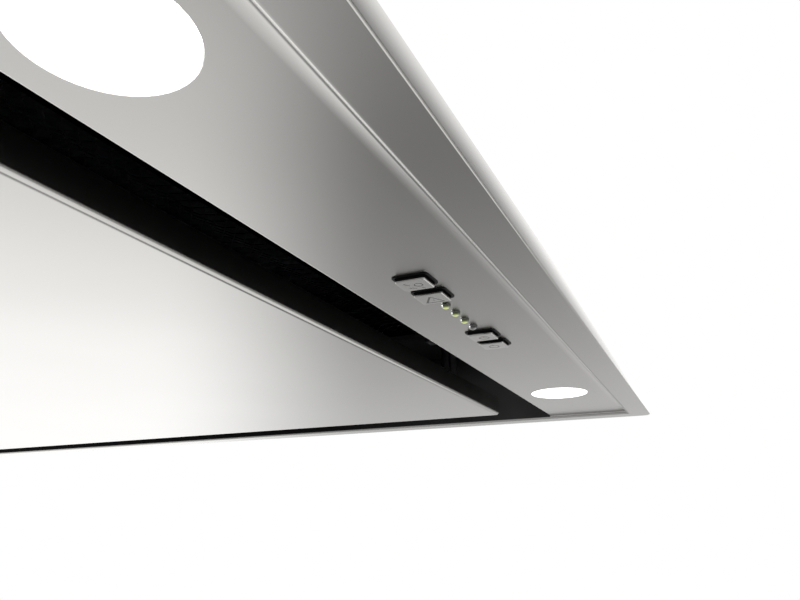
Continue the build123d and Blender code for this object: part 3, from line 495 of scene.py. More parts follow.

# %% [markdown]
# ### Zinc, paint, castings and plastics
# The housing in the ceiling is galvanised sheet with its crystals showing. The inside is painted
# black so that the slot reads as a shadow, and the filter frames seen through it are darkened to
# near black as painted shade. The rest are plain workshop materials, each given by its dark and
# light shade, roughness, grains to the metre, relief in mm and share of metal.

# %% Housing, inside and small parts
zinc_dark = (0.50, 0.52, 0.535)
zinc_light = (0.63, 0.65, 0.665)
galvanised = finish("galvanised_sheet", (0.62, 0.64, 0.65), 0.42, metallic=0.85)
spangle = effect(galvanised, spangled, Size=125.0)
blend_colours(galvanised, spangle.outputs["Shade"], zinc_dark, zinc_light, low=0.1, high=0.95)
galvanised.node_tree.links.new(spangle.outputs["Polish"], inputs_of(galvanised)["Roughness"])

black_paint = moulded("black_powder_coat", (0.003,) * 3, (0.006,) * 3, 0.55, 1100, 0.06)
black_plastic = moulded("black_moulding", (0.002,) * 3, (0.004,) * 3, 0.40, 1500, 0.03)
for matt_black in (black_paint, black_plastic):
    inputs_of(matt_black)["Specular IOR Level"].default_value = 0.12
duct_plastic = moulded("dark_moulding", (0.016, 0.016, 0.017), (0.026, 0.026, 0.027), 0.38, 1500, 0.03)
grey_plastic = moulded("grey_moulding", (0.16, 0.165, 0.17), (0.20, 0.205, 0.21), 0.5, 1500, 0.03)
white_plastic = moulded("white_moulding", (0.70, 0.69, 0.66), (0.76, 0.75, 0.72), 0.45, 1500, 0.02)
cast_metal = moulded("cast_aluminium", (0.44, 0.45, 0.46), (0.56, 0.57, 0.58), 0.5, 900, 0.12, 1.0)
filter_metal = moulded("filter_aluminium", (0.62, 0.63, 0.64), (0.74, 0.75, 0.76), 0.36, 1300, 0.02, 1.0)
# Painted shade: the filter frames are darkened to near black where they show through the slot.
frames_in_painted_shade = moulded("filter_frames_painted_shade", (0.030, 0.030, 0.032), (0.045, 0.045, 0.048),
                      0.45, 1300, 0.02, 1.0)
zinc_metal = moulded("zinc_plated_steel", (0.52, 0.53, 0.54), (0.66, 0.67, 0.68), 0.32, 1700, 0.01, 1.0)
magnet_shell = moulded("magnet_shell", (0.028, 0.026, 0.024), (0.042, 0.040, 0.037), 0.5, 1500, 0.03)
motor_paint = moulded("motor_enamel", (0.10, 0.11, 0.12), (0.14, 0.15, 0.16), 0.4, 1200, 0.04)
board_lacquer = moulded("board_lacquer", (0.008, 0.06, 0.022), (0.014, 0.10, 0.035), 0.3, 300, 0.02)
soft_rubber = moulded("soft_rubber", (0.012,) * 3, (0.022,) * 3, 0.75, 1900, 0.05)
print("materials so far:", len(bpy.data.materials))

# %% [markdown]
# ### Lamp lens and light domes
# The lamp lens is lit opal plastic: the picture shows a plain white disc. Each small dome is a
# clear light pipe, dark where it leaves the strip and bright yellow-green at its tip, so the glow
# is a ramp on height. The last dome is off and clear grey, but keeps a faint grey glow at its
# tip: a painted highlight.

# %% Lit and unlit lights
opal = finish("opal_lens", (0.92, 0.92, 0.90), 0.35)
inputs_of(opal)["Emission Color"].default_value = (1.0, 0.985, 0.95, 1)
inputs_of(opal)["Emission Strength"].default_value = 2.5

dome_radius = 2.5 * mm
dome_height = 2.3 * mm
strip_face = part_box("control_strip")[0].z
glow_full = strip_face - 0.97 * dome_height
glow_ends = strip_face - 0.35 * dome_height
faint_share = 0.45


def dome_material(name, base, glow, faint):
    """Clear moulding whose glow grows from nothing near the strip, over faint, to full at the tip."""
    material = finish(name, base, 0.06, coat=1.0)
    tree = material.node_tree
    shader = inputs_of(material)
    shader["Coat Roughness"].default_value = 0.03
    shader["Coat IOR"].default_value = 1.8
    shader["Emission Strength"].default_value = 1.0
    ramp = tree.nodes.new("ShaderNodeValToRGB")
    ramp.color_ramp.elements[0].color = (*glow, 1)
    ramp.color_ramp.elements[1].color = (0, 0, 0, 1)
    ramp.color_ramp.elements.new(faint_share).color = (*faint, 1)
    tree.links.new(ramped(tree, object_axes(tree)[2], glow_full, glow_ends), ramp.inputs["Fac"])
    tree.links.new(ramp.outputs["Color"], shader["Emission Color"])
    return material


dome_lit = dome_material("light_dome_lit", (0.018, 0.024, 0.006), (0.62, 0.70, 0.22), (0.05, 0.075, 0.004))
# Painted highlight: the unlit dome still glows faintly grey towards its tip, though it is off.
dome_off_painted_glow = dome_material("light_dome_off", (0.02, 0.02, 0.02), (0.11, 0.11, 0.105), (0.015, 0.015, 0.015))
print("materials, with those of the solids:", len(bpy.data.materials))

# %% [markdown]
# ### Put the finishes on the solids
# The record names a slot for each solid. A slot is one finish, except that the stainless sheets
# differ in which way their grain runs, that the filter frames are darkened as painted shade where
# they show in the black slot, and that the air outlet is a dark moulding.

# %% Assign finishes
finish_of_slot = {
    "stainless": steel_panel,
    "galvanised": galvanised,
    "deck_black": black_paint,
    "cap_steel": steel_cap,
    "black_plastic": black_plastic,
    "grey_plastic": grey_plastic,
    "lamp_opal": opal,
    "indicator_lit": dome_lit,
    "indicator_off": dome_off_painted_glow,
    "cast_aluminium": cast_metal,
    "filter_aluminium": filter_metal,
    "zinc_steel": zinc_metal,
    "magnet_case": magnet_shell,
    "motor_grey": motor_paint,
    "board_green": board_lacquer,
    "rubber": soft_rubber,
    "white_plastic": white_plastic,
}
finish_of_node = {
    "trim_frame": steel_frame,
    "control_strip": steel_strip,
    "plain_strip": steel_strip,
    "filter_frame_left": frames_in_painted_shade,
    "filter_frame_right": frames_in_painted_shade,
    "outlet_collar": duct_plastic,
    "damper_flap_left": duct_plastic,
    "damper_flap_right": duct_plastic,
}
slot_of_node = {part["node"]: part["material_slot"] for part in frame["record"]["subparts"]}
for name, node in nodes.items():
    node.data.materials.clear()
    node.data.materials.append(finish_of_node.get(name, finish_of_slot[slot_of_node[name]]))
print("solids with a finish:", len(nodes))

# %% [markdown]
# ### New pieces
# Every piece that is added from here on takes the finish of a slot, unless it has one of its own,
# and rides on a body, so that it moves with the part that it is fixed to.

# %% Add a piece
def add_piece(name, points, faces, slot, body, crease=30, own_finish=None):
    """Make a piece, give it its own finish or the finish of its slot, and attach it to its moving body."""
    piece = piece_from(name, points, faces, crease)
    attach(piece, body)
    piece.data.materials.append(own_finish or finish_of_slot[slot])
    print(name, "faces:", len(piece.data.polygons))
    return piece


print("slots to choose from:", len(finish_of_slot))

# %% [markdown]
# ## Trim frame with its folds
# The frame in the picture has a soft fold where its face turns up beside the strips, a crisp one
# at its outer edge and a well rounded corner, which a press brake and a corner welder give. The
# sheet's section is one closed profile, carried round the frame, so that each fold keeps one
# radius all the way.

# %% Frame
sheet = 1.0 * mm
flange = 19.0 * mm
lip = 8.0 * mm
outer_fold = 0.7 * mm
inner_fold = 2.4 * mm
frame_corner = 7.0 * mm
corner_steps = 15
ceiling_face = 0.0
face_z = frame_low.z
upstand_height = 24.0 * mm
upstand = face_z + upstand_height
section = (
    fold(-outer_fold, face_z + outer_fold, outer_fold, 0, -90)
    + fold(inner_fold - flange, face_z + inner_fold, inner_fold, -90, -180)
    + [(-flange, upstand), (sheet - flange, upstand), (sheet - flange, face_z + sheet)]
    + [(-sheet, face_z + sheet), (-sheet, ceiling_face - sheet), (-lip, ceiling_face - sheet)]
    + [(-lip, ceiling_face), (0, ceiling_face)]
)
folded = hoop(frame_high.x, frame_high.y, section, frame_corner, corner_steps)
folded_frame = add_piece("folded_frame", *folded, "stainless", "housing", own_finish=steel_frame)
folded_frame.modifiers.new("flat_faces", "WEIGHTED_NORMAL").keep_sharp = True
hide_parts("trim_frame")

# %% [markdown]
# ## Buttons
# Each button is a thin brushed plate on a black body that slides in a black surround. The plate's
# mark is etched and filled dark: each stroke lowers and darkens the points that lie within its
# width. The marks are plain rings and strokes, in mm from the middle of the plate: a ring is its
# centre and radius, a stroke its two ends.

# %% Marks of the buttons
numbers = range(1, 5)
cut_width = 0.70 * mm
marks = [
    ([((1.9, -0.4), 1.8)],
     [((-3.9, -3.3), (-2.2, -1.0)), ((-3.2, 2.0), (-0.4, 3.1)), ((2.3, 2.9), (3.1, 4.5))]),
    ([],
     [((0.1, -3.3), (-4.0, 4.0)), ((-0.5, -3.3), (-4.6, 4.0)), ((-4.0, 4.0), (4.3, 4.4)),
      ((4.3, 4.4), (0.1, -3.3)), ((0.0, 0.9), (0.3, 1.6))]),
    ([((0.6, 0.2), 2.6)], [((0.6, 0.2), (0.6, -1.4)), ((0.6, 0.2), (1.8, 0.2))]),
    ([((0.0, 0.0), 2.7)], [((0.0, -1.6), (0.0, -3.6))]),
]


def to_stroke(x, y, start, end):
    """Distance to a straight stroke: to the nearest point between its two ends."""
    (x0, y0), (x1, y1) = np.array(start) * mm, np.array(end) * mm
    share = ((x - x0) * (x1 - x0) + (y - y0) * (y1 - y0)) / ((x1 - x0) ** 2 + (y1 - y0) ** 2)
    share = np.clip(share, 0, 1)
    return np.hypot(x - x0 - share * (x1 - x0), y - y0 - share * (y1 - y0))


def to_ring(x, y, centre, radius):
    """Distance to a circle: how far the distance to its centre is from its radius."""
    return np.abs(np.hypot(x - centre[0] * mm, y - centre[1] * mm) - radius * mm)


def in_mark(x, y, number):
    """How deep a point lies in a cap's mark: 1 on the middle of a line, 0 beyond its width."""
    rings, strokes = marks[number - 1]
    lines = [to_ring(x, y, *ring) for ring in rings] + [to_stroke(x, y, *stroke) for stroke in strokes]
    return np.clip((cut_width / 2 - np.min(lines, axis=0)) / (cut_width / 4), 0, 1)


print("marks:", len(marks))

# %% [markdown]
# ### Engraved caps
# A fine grid over the face makes the plate: corners are pulled onto the rounded outline, and the
# bevel rises with the distance to the edge. The pictured plates stand a little closer to the
# strip than the solids do.

# %% Engraved caps
proud = 2.5 * mm
plate = 0.8 * mm
bevel = 0.3 * mm
corner = 0.7 * mm
cut_depth = 0.06 * mm
cap_face = strip_face - proud
grid_rows, grid_columns = 97, 113
nearly_none = 1e-12


def engraved_cap(number, middle, half):
    """A cap's face, wall and back: points past a corner's centre are pulled onto its arc, and the
    face rises by as much as a point lies nearer to the edge than the bevel is wide.
    """
    across = np.linspace(-half[1], half[1], grid_rows)
    along = np.linspace(-half[0], half[0], grid_columns)
    y, x = np.meshgrid(across, along, indexing="ij")
    over_x = np.maximum(np.abs(x) - (half[0] - corner), 0)
    over_y = np.maximum(np.abs(y) - (half[1] - corner), 0)
    reach = np.hypot(over_x, over_y)
    in_corner = (over_x > 0) & (over_y > 0)
    pull = np.where(in_corner, np.maximum(over_x, over_y) / np.maximum(reach, nearly_none), 1.0)
    x = np.sign(x) * (np.minimum(np.abs(x), half[0] - corner) + over_x * pull)
    y = np.sign(y) * (np.minimum(np.abs(y), half[1] - corner) + over_y * pull)
    to_edge = np.minimum(half[0] - np.abs(x), half[1] - np.abs(y))
    to_edge = np.where(in_corner, np.minimum(to_edge, corner - reach * pull), to_edge)
    height = np.clip(bevel - to_edge, 0, bevel) + cut_depth * in_mark(x, y, number)
    face = np.stack([x + middle[0], y + middle[1], cap_face + height], axis=-1)
    edge = np.concatenate([face[0, :-1], face[:-1, -1], face[-1, :0:-1], face[:0:-1, 0]])
    back = edge.copy()
    back[:, 2] = cap_face + plate
    start = grid_rows * grid_columns
    faces = grid_faces(grid_rows, grid_columns).tolist()
    faces += (grid_faces(2, len(edge), wrap=True) + start).tolist()
    faces.append(list(range(start + len(edge), start + 2 * len(edge))))
    return np.concatenate([face.reshape(-1, 3), edge, back]), faces


print("points of a cap's face:", grid_rows * grid_columns)

# %% [markdown]
# ### Filling of the marks
# A cap's finish needs to know where its mark is, so each point of the mesh keeps its depth in the
# mark as a number of its own, an attribute, which the material reads by name.

# %% Caps with their marks stored
def store_mark(cap, number, middle):
    """Keep each point's depth in the mark on the mesh, for the dark filling."""
    place = np.empty(3 * len(cap.data.vertices))
    cap.data.vertices.foreach_get("co", place)
    x, y, z = place.reshape(-1, 3).T
    depth = np.where(z < cap_face + plate / 2, in_mark(x - middle[0], y - middle[1], number), 0)
    cap.data.attributes.new("mark", "FLOAT", "POINT").data.foreach_set("value", depth.astype(np.float32))


for number in numbers:
    middle, half = middle_of(*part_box(f"button_cap_{number}"))
    shape = engraved_cap(number, middle, half)
    cap = add_piece(f"engraved_cap_{number}", *shape, "cap_steel", f"button_{number}")
    store_mark(cap, number, middle)
    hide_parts(f"button_cap_{number}")

# %% [markdown]
# ### Black bodies and their surrounds
# Under each plate a moulded body runs through the strip to a lip and a plunger, and a thin raised
# rim guards the opening. The body is a stack of outlines, the rim a small section carried round.

# %% Black bodies and their surrounds
lip_z = strip_face + 1.3 * mm
lip_top = lip_z + 1.5 * mm
plunger = 1.5 * mm
gap = 0.3 * mm
rim = [(0, 0), (1.3, 0), (1.3, -0.35), (1.15, -0.5), (0.2, -0.5), (0, -0.3)]
rim = [(out * mm, strip_face + up * mm) for out, up in rim]
surrounds = []
for number in numbers:
    middle, (half_x, half_y, _) = middle_of(*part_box(f"button_cap_{number}"))
    stem_middle, (lip_x, lip_y, stem_half) = middle_of(*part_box(f"button_stem_{number}"))
    stem_top = stem_middle[2] + stem_half
    middle = [(middle[0], middle[1], 0)]
    levels = [(0, 0, 0, cap_face + plate), (half_x, half_y, corner, cap_face + plate)]
    levels += [(half_x, half_y, corner, lip_z), (lip_x, lip_y, corner, lip_z)]
    levels += [(lip_x, lip_y, corner, lip_top), (plunger, plunger, plunger, lip_top)]
    levels += [(plunger, plunger, plunger, stem_top), (0, 0, 0, stem_top)]
    body = together(copies(stacked(levels, steps=6), middle))
    stem = add_piece(f"button_body_{number}", *body, "black_plastic", f"button_{number}", crease=35)
    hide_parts(f"button_stem_{number}")
    surrounds.append(copies(hoop(half_x + gap, half_y + gap, rim, corner + gap, 6), middle))
add_piece("button_surrounds", *together(*surrounds), "black_plastic", "housing")

# %% [markdown]
# ## Light domes
# The solids carry a short bevelled pin, enough for size and place. The lights in the picture are
# round heads on a thinner pipe, so a quarter of an ellipse is turned round each pin's axis.

# %% Domes
def dome(low, high, steps=14):
    """A domed head under the strip, then the pipe: r = R sin t, z = face - H cos t."""
    t = np.linspace(0, pi / 2, steps)
    head = np.stack([dome_radius * np.sin(t), strip_face - dome_height * np.cos(t), np.zeros(steps)], axis=-1)
    middle, half = middle_of(low, high)
    pipe = [(half[0], strip_face, 0), (half[0], high.z, 0), (0, high.z, 0)]
    points, faces = turned([*head.tolist(), *pipe], 32)
    return points + middle * (1, 1, 0), faces


for number in numbers:
    node = f"indicator_lens_{number}"
    piece = add_piece(f"light_dome_{number}", *dome(*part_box(node)), slot_of_node[node], "housing", crease=40)
    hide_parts(node)

# %% [markdown]
# ## Grease filter mesh
# A grease filter is layers of expanded aluminium: ribbons that part and meet in diamonds, folded
# into shallow pleats. Each ribbon here is a square wire on y = row + a cos(x), its neighbour is
# half a wave behind so that crests touch, and the pleats raise and lower z along x.

# %% Expanded mesh
diamond = 9.0 * mm
bend_step = diamond / 6
pleat = 11.0 * mm
wire = 0.45 * mm


def expanded_layer(low, high):
    """Wires over the filter: y swings by a quarter diamond, z follows the pleats of the solid."""
    count = int((high.y - low.y - 2 * wire) / (diamond / 2))
    x = np.arange(low.x + wire, high.x - wire, bend_step)
    row = np.arange(count)[:, None]
    y = low.y + diamond / 4 + wire + row * diamond / 2
    y = y + (diamond / 4 - wire / 2) * np.cos(2 * pi * (x - low.x) / diamond + pi * (row % 2))
    rise = np.abs(((x - low.x) / pleat) % 2 - 1)
    z = np.broadcast_to(low.z + wire + rise * (high.z - low.z - 2 * wire), y.shape)
    x = np.broadcast_to(x, y.shape)
    section = four_corners[[2, 1, 0, 3]] * wire / 2
    points = np.stack([x, y, z], axis=-1)[:, :, None, :]
    points = np.broadcast_to(points, (*x.shape, 4, 3)).copy()
    points[..., 1:] += section
    one = grid_faces(x.shape[1], 4, wrap=True)
    offset = np.arange(count)[:, None, None] * x.shape[1] * 4
    return points.reshape(-1, 3), (one[None] + offset).reshape(-1, 4)


for side in ("left", "right"):
    node = f"filter_mesh_{side}"
    wires = expanded_layer(*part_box(node))
    mesh_piece = add_piece(f"expanded_mesh_{side}", *wires, "filter_aluminium", "housing", crease=60)
    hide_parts(node)

# %% [markdown]
# ## Screws, rivets, swages and laps of the housing
# Sheet-metal housings are held by small hexagon screws with a washer under the head, blind rivets
# and spot welds. Each is a short turned profile, copied to its places on a face.

# %% Screws, rivets and welds
hex_screw = turned(
    in_mm((0, -0.3), (5, -0.3), (5, 0.5), (3.6, 0.8, 1), (3.6, 3.2, 1), (2.6, 3.7), (0, 3.7)), 12, sides=6
)
socket_screw = turned(
    in_mm((0, -0.2), (3.2, -0.2), (3.2, 0.8), (2.4, 1.5), (1.4, 1.7, 1), (1.3, 0.6, 1), (0, 0.6)), 24, sides=6
)
rivet = turned(in_mm((0, -0.2), (3, -0.2), (3, 0.3), (2.4, 1.0), (1.1, 1.4), (0.9, 0.9), (0, 0.9)), 14)
weld = turned(in_mm((0, -0.1), (2.8, -0.1), (2.8, 0.1), (1.8, 0.25), (1.2, 0.1), (0, 0.1)), 14)
plenum_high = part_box("plenum_box")[1]
box_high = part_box("blower_box")[1]
collar_low, collar_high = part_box("outlet_collar")
box_flange = 15 * mm
wall_x, wall_y = box_high.x - box_flange, box_high.y - box_flange


def row_along(axis, start, end, count, other, height):
    """Evenly spaced places along x, y or z, from start to end: the other two axes stay fixed."""
    run, fixed, level = np.linspace(start, end, count), np.full(count, other), np.full(count, height)
    order = {"x": (run, fixed, level), "y": (fixed, run, level), "z": (fixed, level, run)}
    return np.stack(order[axis], axis=-1)


def at_corners(middle, half, flat):
    """Four places at the corners of a rectangle that stands across one axis, 0 for x to 2 for z."""
    reach = four_corners * np.delete(half, flat)
    return np.insert(reach, flat, 0, axis=1) + middle


print("points of a screw:", len(hex_screw[0]))

# %% [markdown]
# ### Screws of the housing
# One row of screws runs along each wall, just above the frame, and one round the foot of the
# blower's box. Each hanger is held by two, and the air outlet and the lid of the wiring box by four.

# %% Screws of the housing
long_reach, short_reach = 480 * mm, 280 * mm
box_reach_x, box_reach_y = 200 * mm, 150 * mm
side_screw_z = 8 * mm
flange_sheet = 1 * mm
foot_sheet, foot_inset_x, foot_inset_y, half_pitch = 2.5 * mm, 10 * mm, 20 * mm, 12 * mm
plate_sheet, plate_inset = 2 * mm, 10 * mm
lid_inset = 7 * mm
flange_top = plenum_high.z + flange_sheet
flange_x, flange_y = box_high.x - box_flange / 2, box_high.y - box_flange / 2
screw_sets = []
for end in (-1, 1):
    wall_rows = row_along("x", -long_reach, long_reach, 7, end * plenum_high.y, side_screw_z)
    end_rows = row_along("y", -short_reach, short_reach, 4, end * plenum_high.x, side_screw_z)
    screw_sets += [
        copies(hex_screw, wall_rows, facing(0, end, 0)),
        copies(hex_screw, end_rows, facing(end, 0, 0)),
        copies(hex_screw, row_along("x", -box_reach_x, box_reach_x, 5, end * flange_y, flange_top)),
        copies(hex_screw, row_along("y", -box_reach_y, box_reach_y, 4, end * flange_x, flange_top)),
    ]
foot_low, foot_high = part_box("hanger_brackets")
foot_middle = np.array([0, 0, foot_low.z + foot_sheet])
foot_reach = np.array([foot_high.x - foot_inset_x, foot_high.y - foot_inset_y, 0])
for step in (-half_pitch, half_pitch):
    screw_sets.append(copies(hex_screw, at_corners(foot_middle, foot_reach, 2) + (0, step, 0)))
plate_middle, plate_half = middle_of(collar_low, collar_high)
plate_middle[1] = collar_low.y + plate_sheet
plate_half[2] = plate_half[0]
plate_places = at_corners(plate_middle, plate_half - plate_inset, 1)
screw_sets.append(copies(hex_screw, plate_places, facing(0, 1, 0)))
add_piece("housing_screws", *together(*screw_sets), "zinc_steel", "housing")

lid_low, lid_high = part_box("terminal_lid")
lid_middle, lid_half = middle_of(lid_low, lid_high)
lid_middle[0] = lid_low.x
lid_screws = copies(socket_screw, at_corners(lid_middle, lid_half - lid_inset, 0), facing(-1, 0, 0))
add_piece("terminal_screws", *together(lid_screws), "zinc_steel", "housing")

# %% [markdown]
# ### Welds on the panel and rivets on the filters
# The panel's two stiffeners are spot welded along both flanges, so the welds move with the panel.
# A filter's frame is riveted at its four corners.

# %% Welds on the panel and rivets on the filters
weld_from_end = 14 * mm
weld_inset = 5 * mm
rivet_inset = 5 * mm
stiffener_sheet = 1 * mm
weld_sets = []
for side in ("left", "right"):
    low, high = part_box(f"panel_stiffener_{side}")
    for x in (low.x + weld_inset, high.x - weld_inset):
        row = row_along("y", low.y + weld_from_end, high.y - weld_from_end, 12, x, low.z + stiffener_sheet)
        weld_sets.append(copies(weld, row))
add_piece("panel_welds", *together(*weld_sets), "zinc_steel", "panel")

rivet_sets = []
for side in ("left", "right"):
    low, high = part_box(f"filter_frame_{side}")
    middle, half = middle_of(low, high)
    middle[2] = low.z
    rivet_sets.append(copies(rivet, at_corners(middle, half - rivet_inset, 2), facing(0, 0, -1)))
add_piece("filter_rivets", *together(*rivet_sets), "zinc_steel", "housing")

# %% [markdown]
# ### Swages and laps
# Long flat walls are stiffened with pressed swages: a ring round the top of the wide box, and
# upright ribs with round ends on the blower's box. A wall's edge laps round each corner onto the
# next wall, where rivets hold it.

# %% Swages
skin = 0.8 * mm
swage_height = 1.4 * mm
swage_half = 4 * mm
ring_x, ring_y, ring_corner = 470 * mm, 300 * mm, 30 * mm
rib_half_width, rib_half_length = 5 * mm, 72 * mm
rib_reach_x, rib_reach_y = 150 * mm, 130 * mm
rib_drop = 10 * mm
nearly_all = 0.999
half_turn = np.linspace(0, pi, 9)
swage_round = [(swage_half * np.cos(a), plenum_high.z + swage_height * np.sin(a)) for a in half_turn]
swage_round += [(-swage_half, plenum_high.z - skin), (swage_half, plenum_high.z - skin)]
swages = [hoop(ring_x, ring_y, swage_round, ring_corner, 9)]


def pill(half_width, half_length):
    """A pressed rib with round ends: outlines that draw in by w (1 - cos a) as they rise, z = H sin a."""
    rise = np.linspace(0, pi / 2, 6)
    drawn = half_width * (1 - np.cos(rise)) * nearly_all
    levels = [(half_width, half_length, half_width, -skin)]
    for inward, angle in zip(drawn, rise):
        inner = half_width - inward
        levels.append((inner, half_length - inward, inner, swage_height * np.sin(angle)))
    return stacked(levels, steps=7)


wall_rib = pill(rib_half_width, rib_half_length)
rib_z = (plenum_high.z + box_high.z) / 2 - rib_drop
side_ribs = row_along("x", -rib_reach_x, rib_reach_x, 5, -wall_y, rib_z)
end_ribs = row_along("y", -rib_reach_y, rib_reach_y, 4, wall_x, rib_z)
swages += [copies(wall_rib, side_ribs, facing(0, -1, 0)), copies(wall_rib, end_ribs, facing(1, 0, 0))]
add_piece("pressed_swages", *together(*swages), "galvanised", "housing", crease=50)

# %% Laps
lap = 9 * mm
lap_corner = 1 * mm
eased_by = 0.3 * mm
over_frame, over_flange, clear = 18 * mm, 3 * mm, 2 * mm
skirt_foot = box_high.z - 26 * mm


def lap_plate(half_length):
    """A narrow folded edge lying on a wall, with its outer corners eased."""
    edge = [(lap, half_length, lap_corner, -skin), (lap, half_length, lap_corner, skin / 2),
            (lap - eased_by, half_length - eased_by, lap_corner, skin), (0, 0, 0, skin)]
    return stacked(edge, steps=4)


laps, lap_rivets = [], []
for half_x, half_y, bottom, top, count in (
    (plenum_high.x, plenum_high.y, over_frame, plenum_high.z - clear, 3),
    (wall_x, wall_y, plenum_high.z + over_flange, skirt_foot - clear, 6),
):
    for end in (-1, 1):
        for side in (-1, 1):
            across = side * (half_y - lap)
            place = [(end * half_x, across, (bottom + top) / 2)]
            laps.append(copies(lap_plate((top - bottom) / 2), place, facing(end, 0, 0)))
            row = row_along("z", bottom + lap, top - lap, count, end * (half_x + skin), across)
            lap_rivets.append(copies(rivet, row, facing(end, 0, 0)))
add_piece("corner_laps", *together(*laps), "galvanised", "housing")

# %% [markdown]
# ### Lid skirt and the outlet's bead
# The blower's box is closed by a lid whose skirt is riveted round the walls. The round outlet has
# a rolled bead near its end, which keeps a clamped hose from slipping off.

# %% Lid skirt and its rivets
skirt_sheet = 0.9 * mm
skirt_shoulder = box_high.z - 1 * mm
skirt_rivets_z = box_high.z - 14 * mm
skirt_reach_x, skirt_reach_y = 190 * mm, 170 * mm
skirt_section = [(0, skirt_foot), (skirt_sheet, skirt_foot), (skirt_sheet, skirt_shoulder), (0, box_high.z)]
skirt = hoop(wall_x, wall_y, skirt_section)
for end in (-1, 1):
    on_side = row_along("x", -skirt_reach_x, skirt_reach_x, 5, end * (wall_y + skirt_sheet), skirt_rivets_z)
    on_end = row_along("y", -skirt_reach_y, skirt_reach_y, 5, end * (wall_x + skirt_sheet), skirt_rivets_z)
    lap_rivets += [copies(rivet, on_side, facing(0, end, 0)), copies(rivet, on_end, facing(end, 0, 0))]
add_piece("lid_skirt", *together(skirt), "galvanised", "housing")
add_piece("lid_rivets", *together(*lap_rivets), "zinc_steel", "housing")

# %% Bead of the outlet
bead_from_end = 12 * mm
duct_middle = middle_of(collar_low, collar_high)[0]
duct_middle[1] = collar_high.y - bead_from_end
bead = turned(in_mm((75, -3), (76.2, -2), (76.8, 0), (76.2, 2), (75, 3), (74.8, 0), (75, -3)), 96)
beads = copies(bead, [duct_middle], facing(0, 1, 0))
add_piece("collar_bead", *together(beads), "galvanised", "housing", crease=40)

# %% [markdown]
# ## Cable gland
# The solid gland is a nut and a tube. The real one has a domed, ribbed cap nut over a hexagon and
# a soft ring that grips the cable, so its profile is turned with ribs round the axis of the bore.

# %% Gland
gland_low, gland_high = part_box("cable_gland")
gland_middle = middle_of(gland_low, gland_high)[0]
gland_middle[1] = gland_high.y
bore = 4.5
hexagon = turned(in_mm((8.4, 4), (11, 4, 1), (11, 10, 1), (9.6, 11), (8.4, 11), (8.4, 4)), 48, sides=6)
cap_nut = turned(
    in_mm((bore, 0), (8.5, 0), (8.5, 11), (10, 11.2, 1), (10, 17, 1), (9.3, 19.5, 1), (7.4, 21.6), (6.2, 22),
          (bore, 21), (bore, 0)),
    96,
    ribs=16,
    swell=0.02,
)
gland_parts = [copies(part, [gland_middle], facing(0, -1, 0)) for part in (hexagon, cap_nut)]
gland_shape = together(*gland_parts)
gland = add_piece("ribbed_gland", *gland_shape, "black_plastic", "housing", 35, duct_plastic)
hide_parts("cable_gland")

# %% [markdown]
# ## Studio
# A ceiling hood is photographed from below against white, with a bright window side, a doorway
# and a darker floor, which is what gives brushed steel its slow change from white to grey. Here
# the camera sees plain white, and only mirrored rays see such a room, as a level for each
# direction: a ramp on the height angle, with soft-edged bright and shaded patches on it.

# %% Directions of the room
white_level = 1.0
fill_level = 0.55
world = bpy.data.worlds.new("white_studio")
bpy.context.scene.world = world
world.use_nodes = True
tree = world.node_tree
direction = tree.nodes.new("ShaderNodeSeparateXYZ")
tree.links.new(tree.nodes.new("ShaderNodeTexCoord").outputs["Generated"], direction.inputs[0])
height_angle = calculate(tree, "ARCSINE", direction.outputs[2])
side_angle = calculate(tree, "ARCTAN2", direction.outputs[0], direction.outputs[1])

room = tree.nodes.new("ShaderNodeValToRGB")
room_levels = [(-90, 0.50), (-50, 0.36), (-31, 0.16), (-24, 0.29),
               (-16, 0.47), (-9, 0.78), (0, 0.98), (90, 1.0)]
while len(room.color_ramp.elements) < len(room_levels):
    room.color_ramp.elements.new(0.5)
for stop, (angle, level) in zip(room.color_ramp.elements, room_levels):
    stop.position = (angle + 90) / 180
    stop.color = (level, level, level, 1)
tree.links.new(calculate(tree, "MULTIPLY_ADD", height_angle, 1 / pi, 0.5), room.inputs["Fac"])
print("room levels in the metal:", room_levels)

# %% [markdown]
# ### Window, doorway and shade
# Each patch is a product of soft steps. A step is (angle, start, end, level before, level after),
# in degrees: the side angle turns from the wall ahead, the height angle rises from the horizon.

# %% Window, doorway and shade
window_gain = 0.95
doorway_gain = 0.95
shade_level = 0.42
window = [(side_angle, -47, -27, window_gain, 0), (side_angle, -130, -105, 0, 1),
          (height_angle, -33, -18, 0.72, 1), (height_angle, -52, -38, 0, 1), (height_angle, -12, -3, 1, 0.45)]
doorway = [(side_angle, -12, 8, 0, doorway_gain), (side_angle, 60, 90, 1, 0), (height_angle, -26, -17, 1, 0)]
shade = [(side_angle, 6, 18, 1, shade_level)]
behind = [(side_angle, 60, 90, 0, 1)]


def patch(steps):
    """Soft steps multiplied, so that a level shows only where all of them allow it."""
    total = 1.0
    for value, start, end, before, after in steps:
        mask = ramped(tree, value, radians(start), radians(end), before, after, "SMOOTHSTEP")
        total = calculate(tree, "MULTIPLY", total, mask)
    return total


away = calculate(tree, "MAXIMUM", patch(shade), patch(behind))
mirrored = calculate(tree, "MULTIPLY", room.outputs["Color"], away)
for light in (window, doorway):
    mirrored = calculate(tree, "ADD", mirrored, patch(light))
print("steps in the room:", len(window) + len(doorway) + len(shade) + len(behind))

# %% [markdown]
# ### What each kind of ray sees
# The camera and rays through clear pieces see white, mirrored rays see the room, and the soft
# light that falls on the hood is a plain level of its own.

# %% World
def choose(tree, when, then, otherwise):
    """One of two levels, by a mask that is 0 or 1."""
    pick = tree.nodes.new("ShaderNodeMix")
    for label, value in (("Factor", when), ("B", then), ("A", otherwise)):
        feed(tree, pick.inputs[label], value)
    return pick.outputs["Result"]


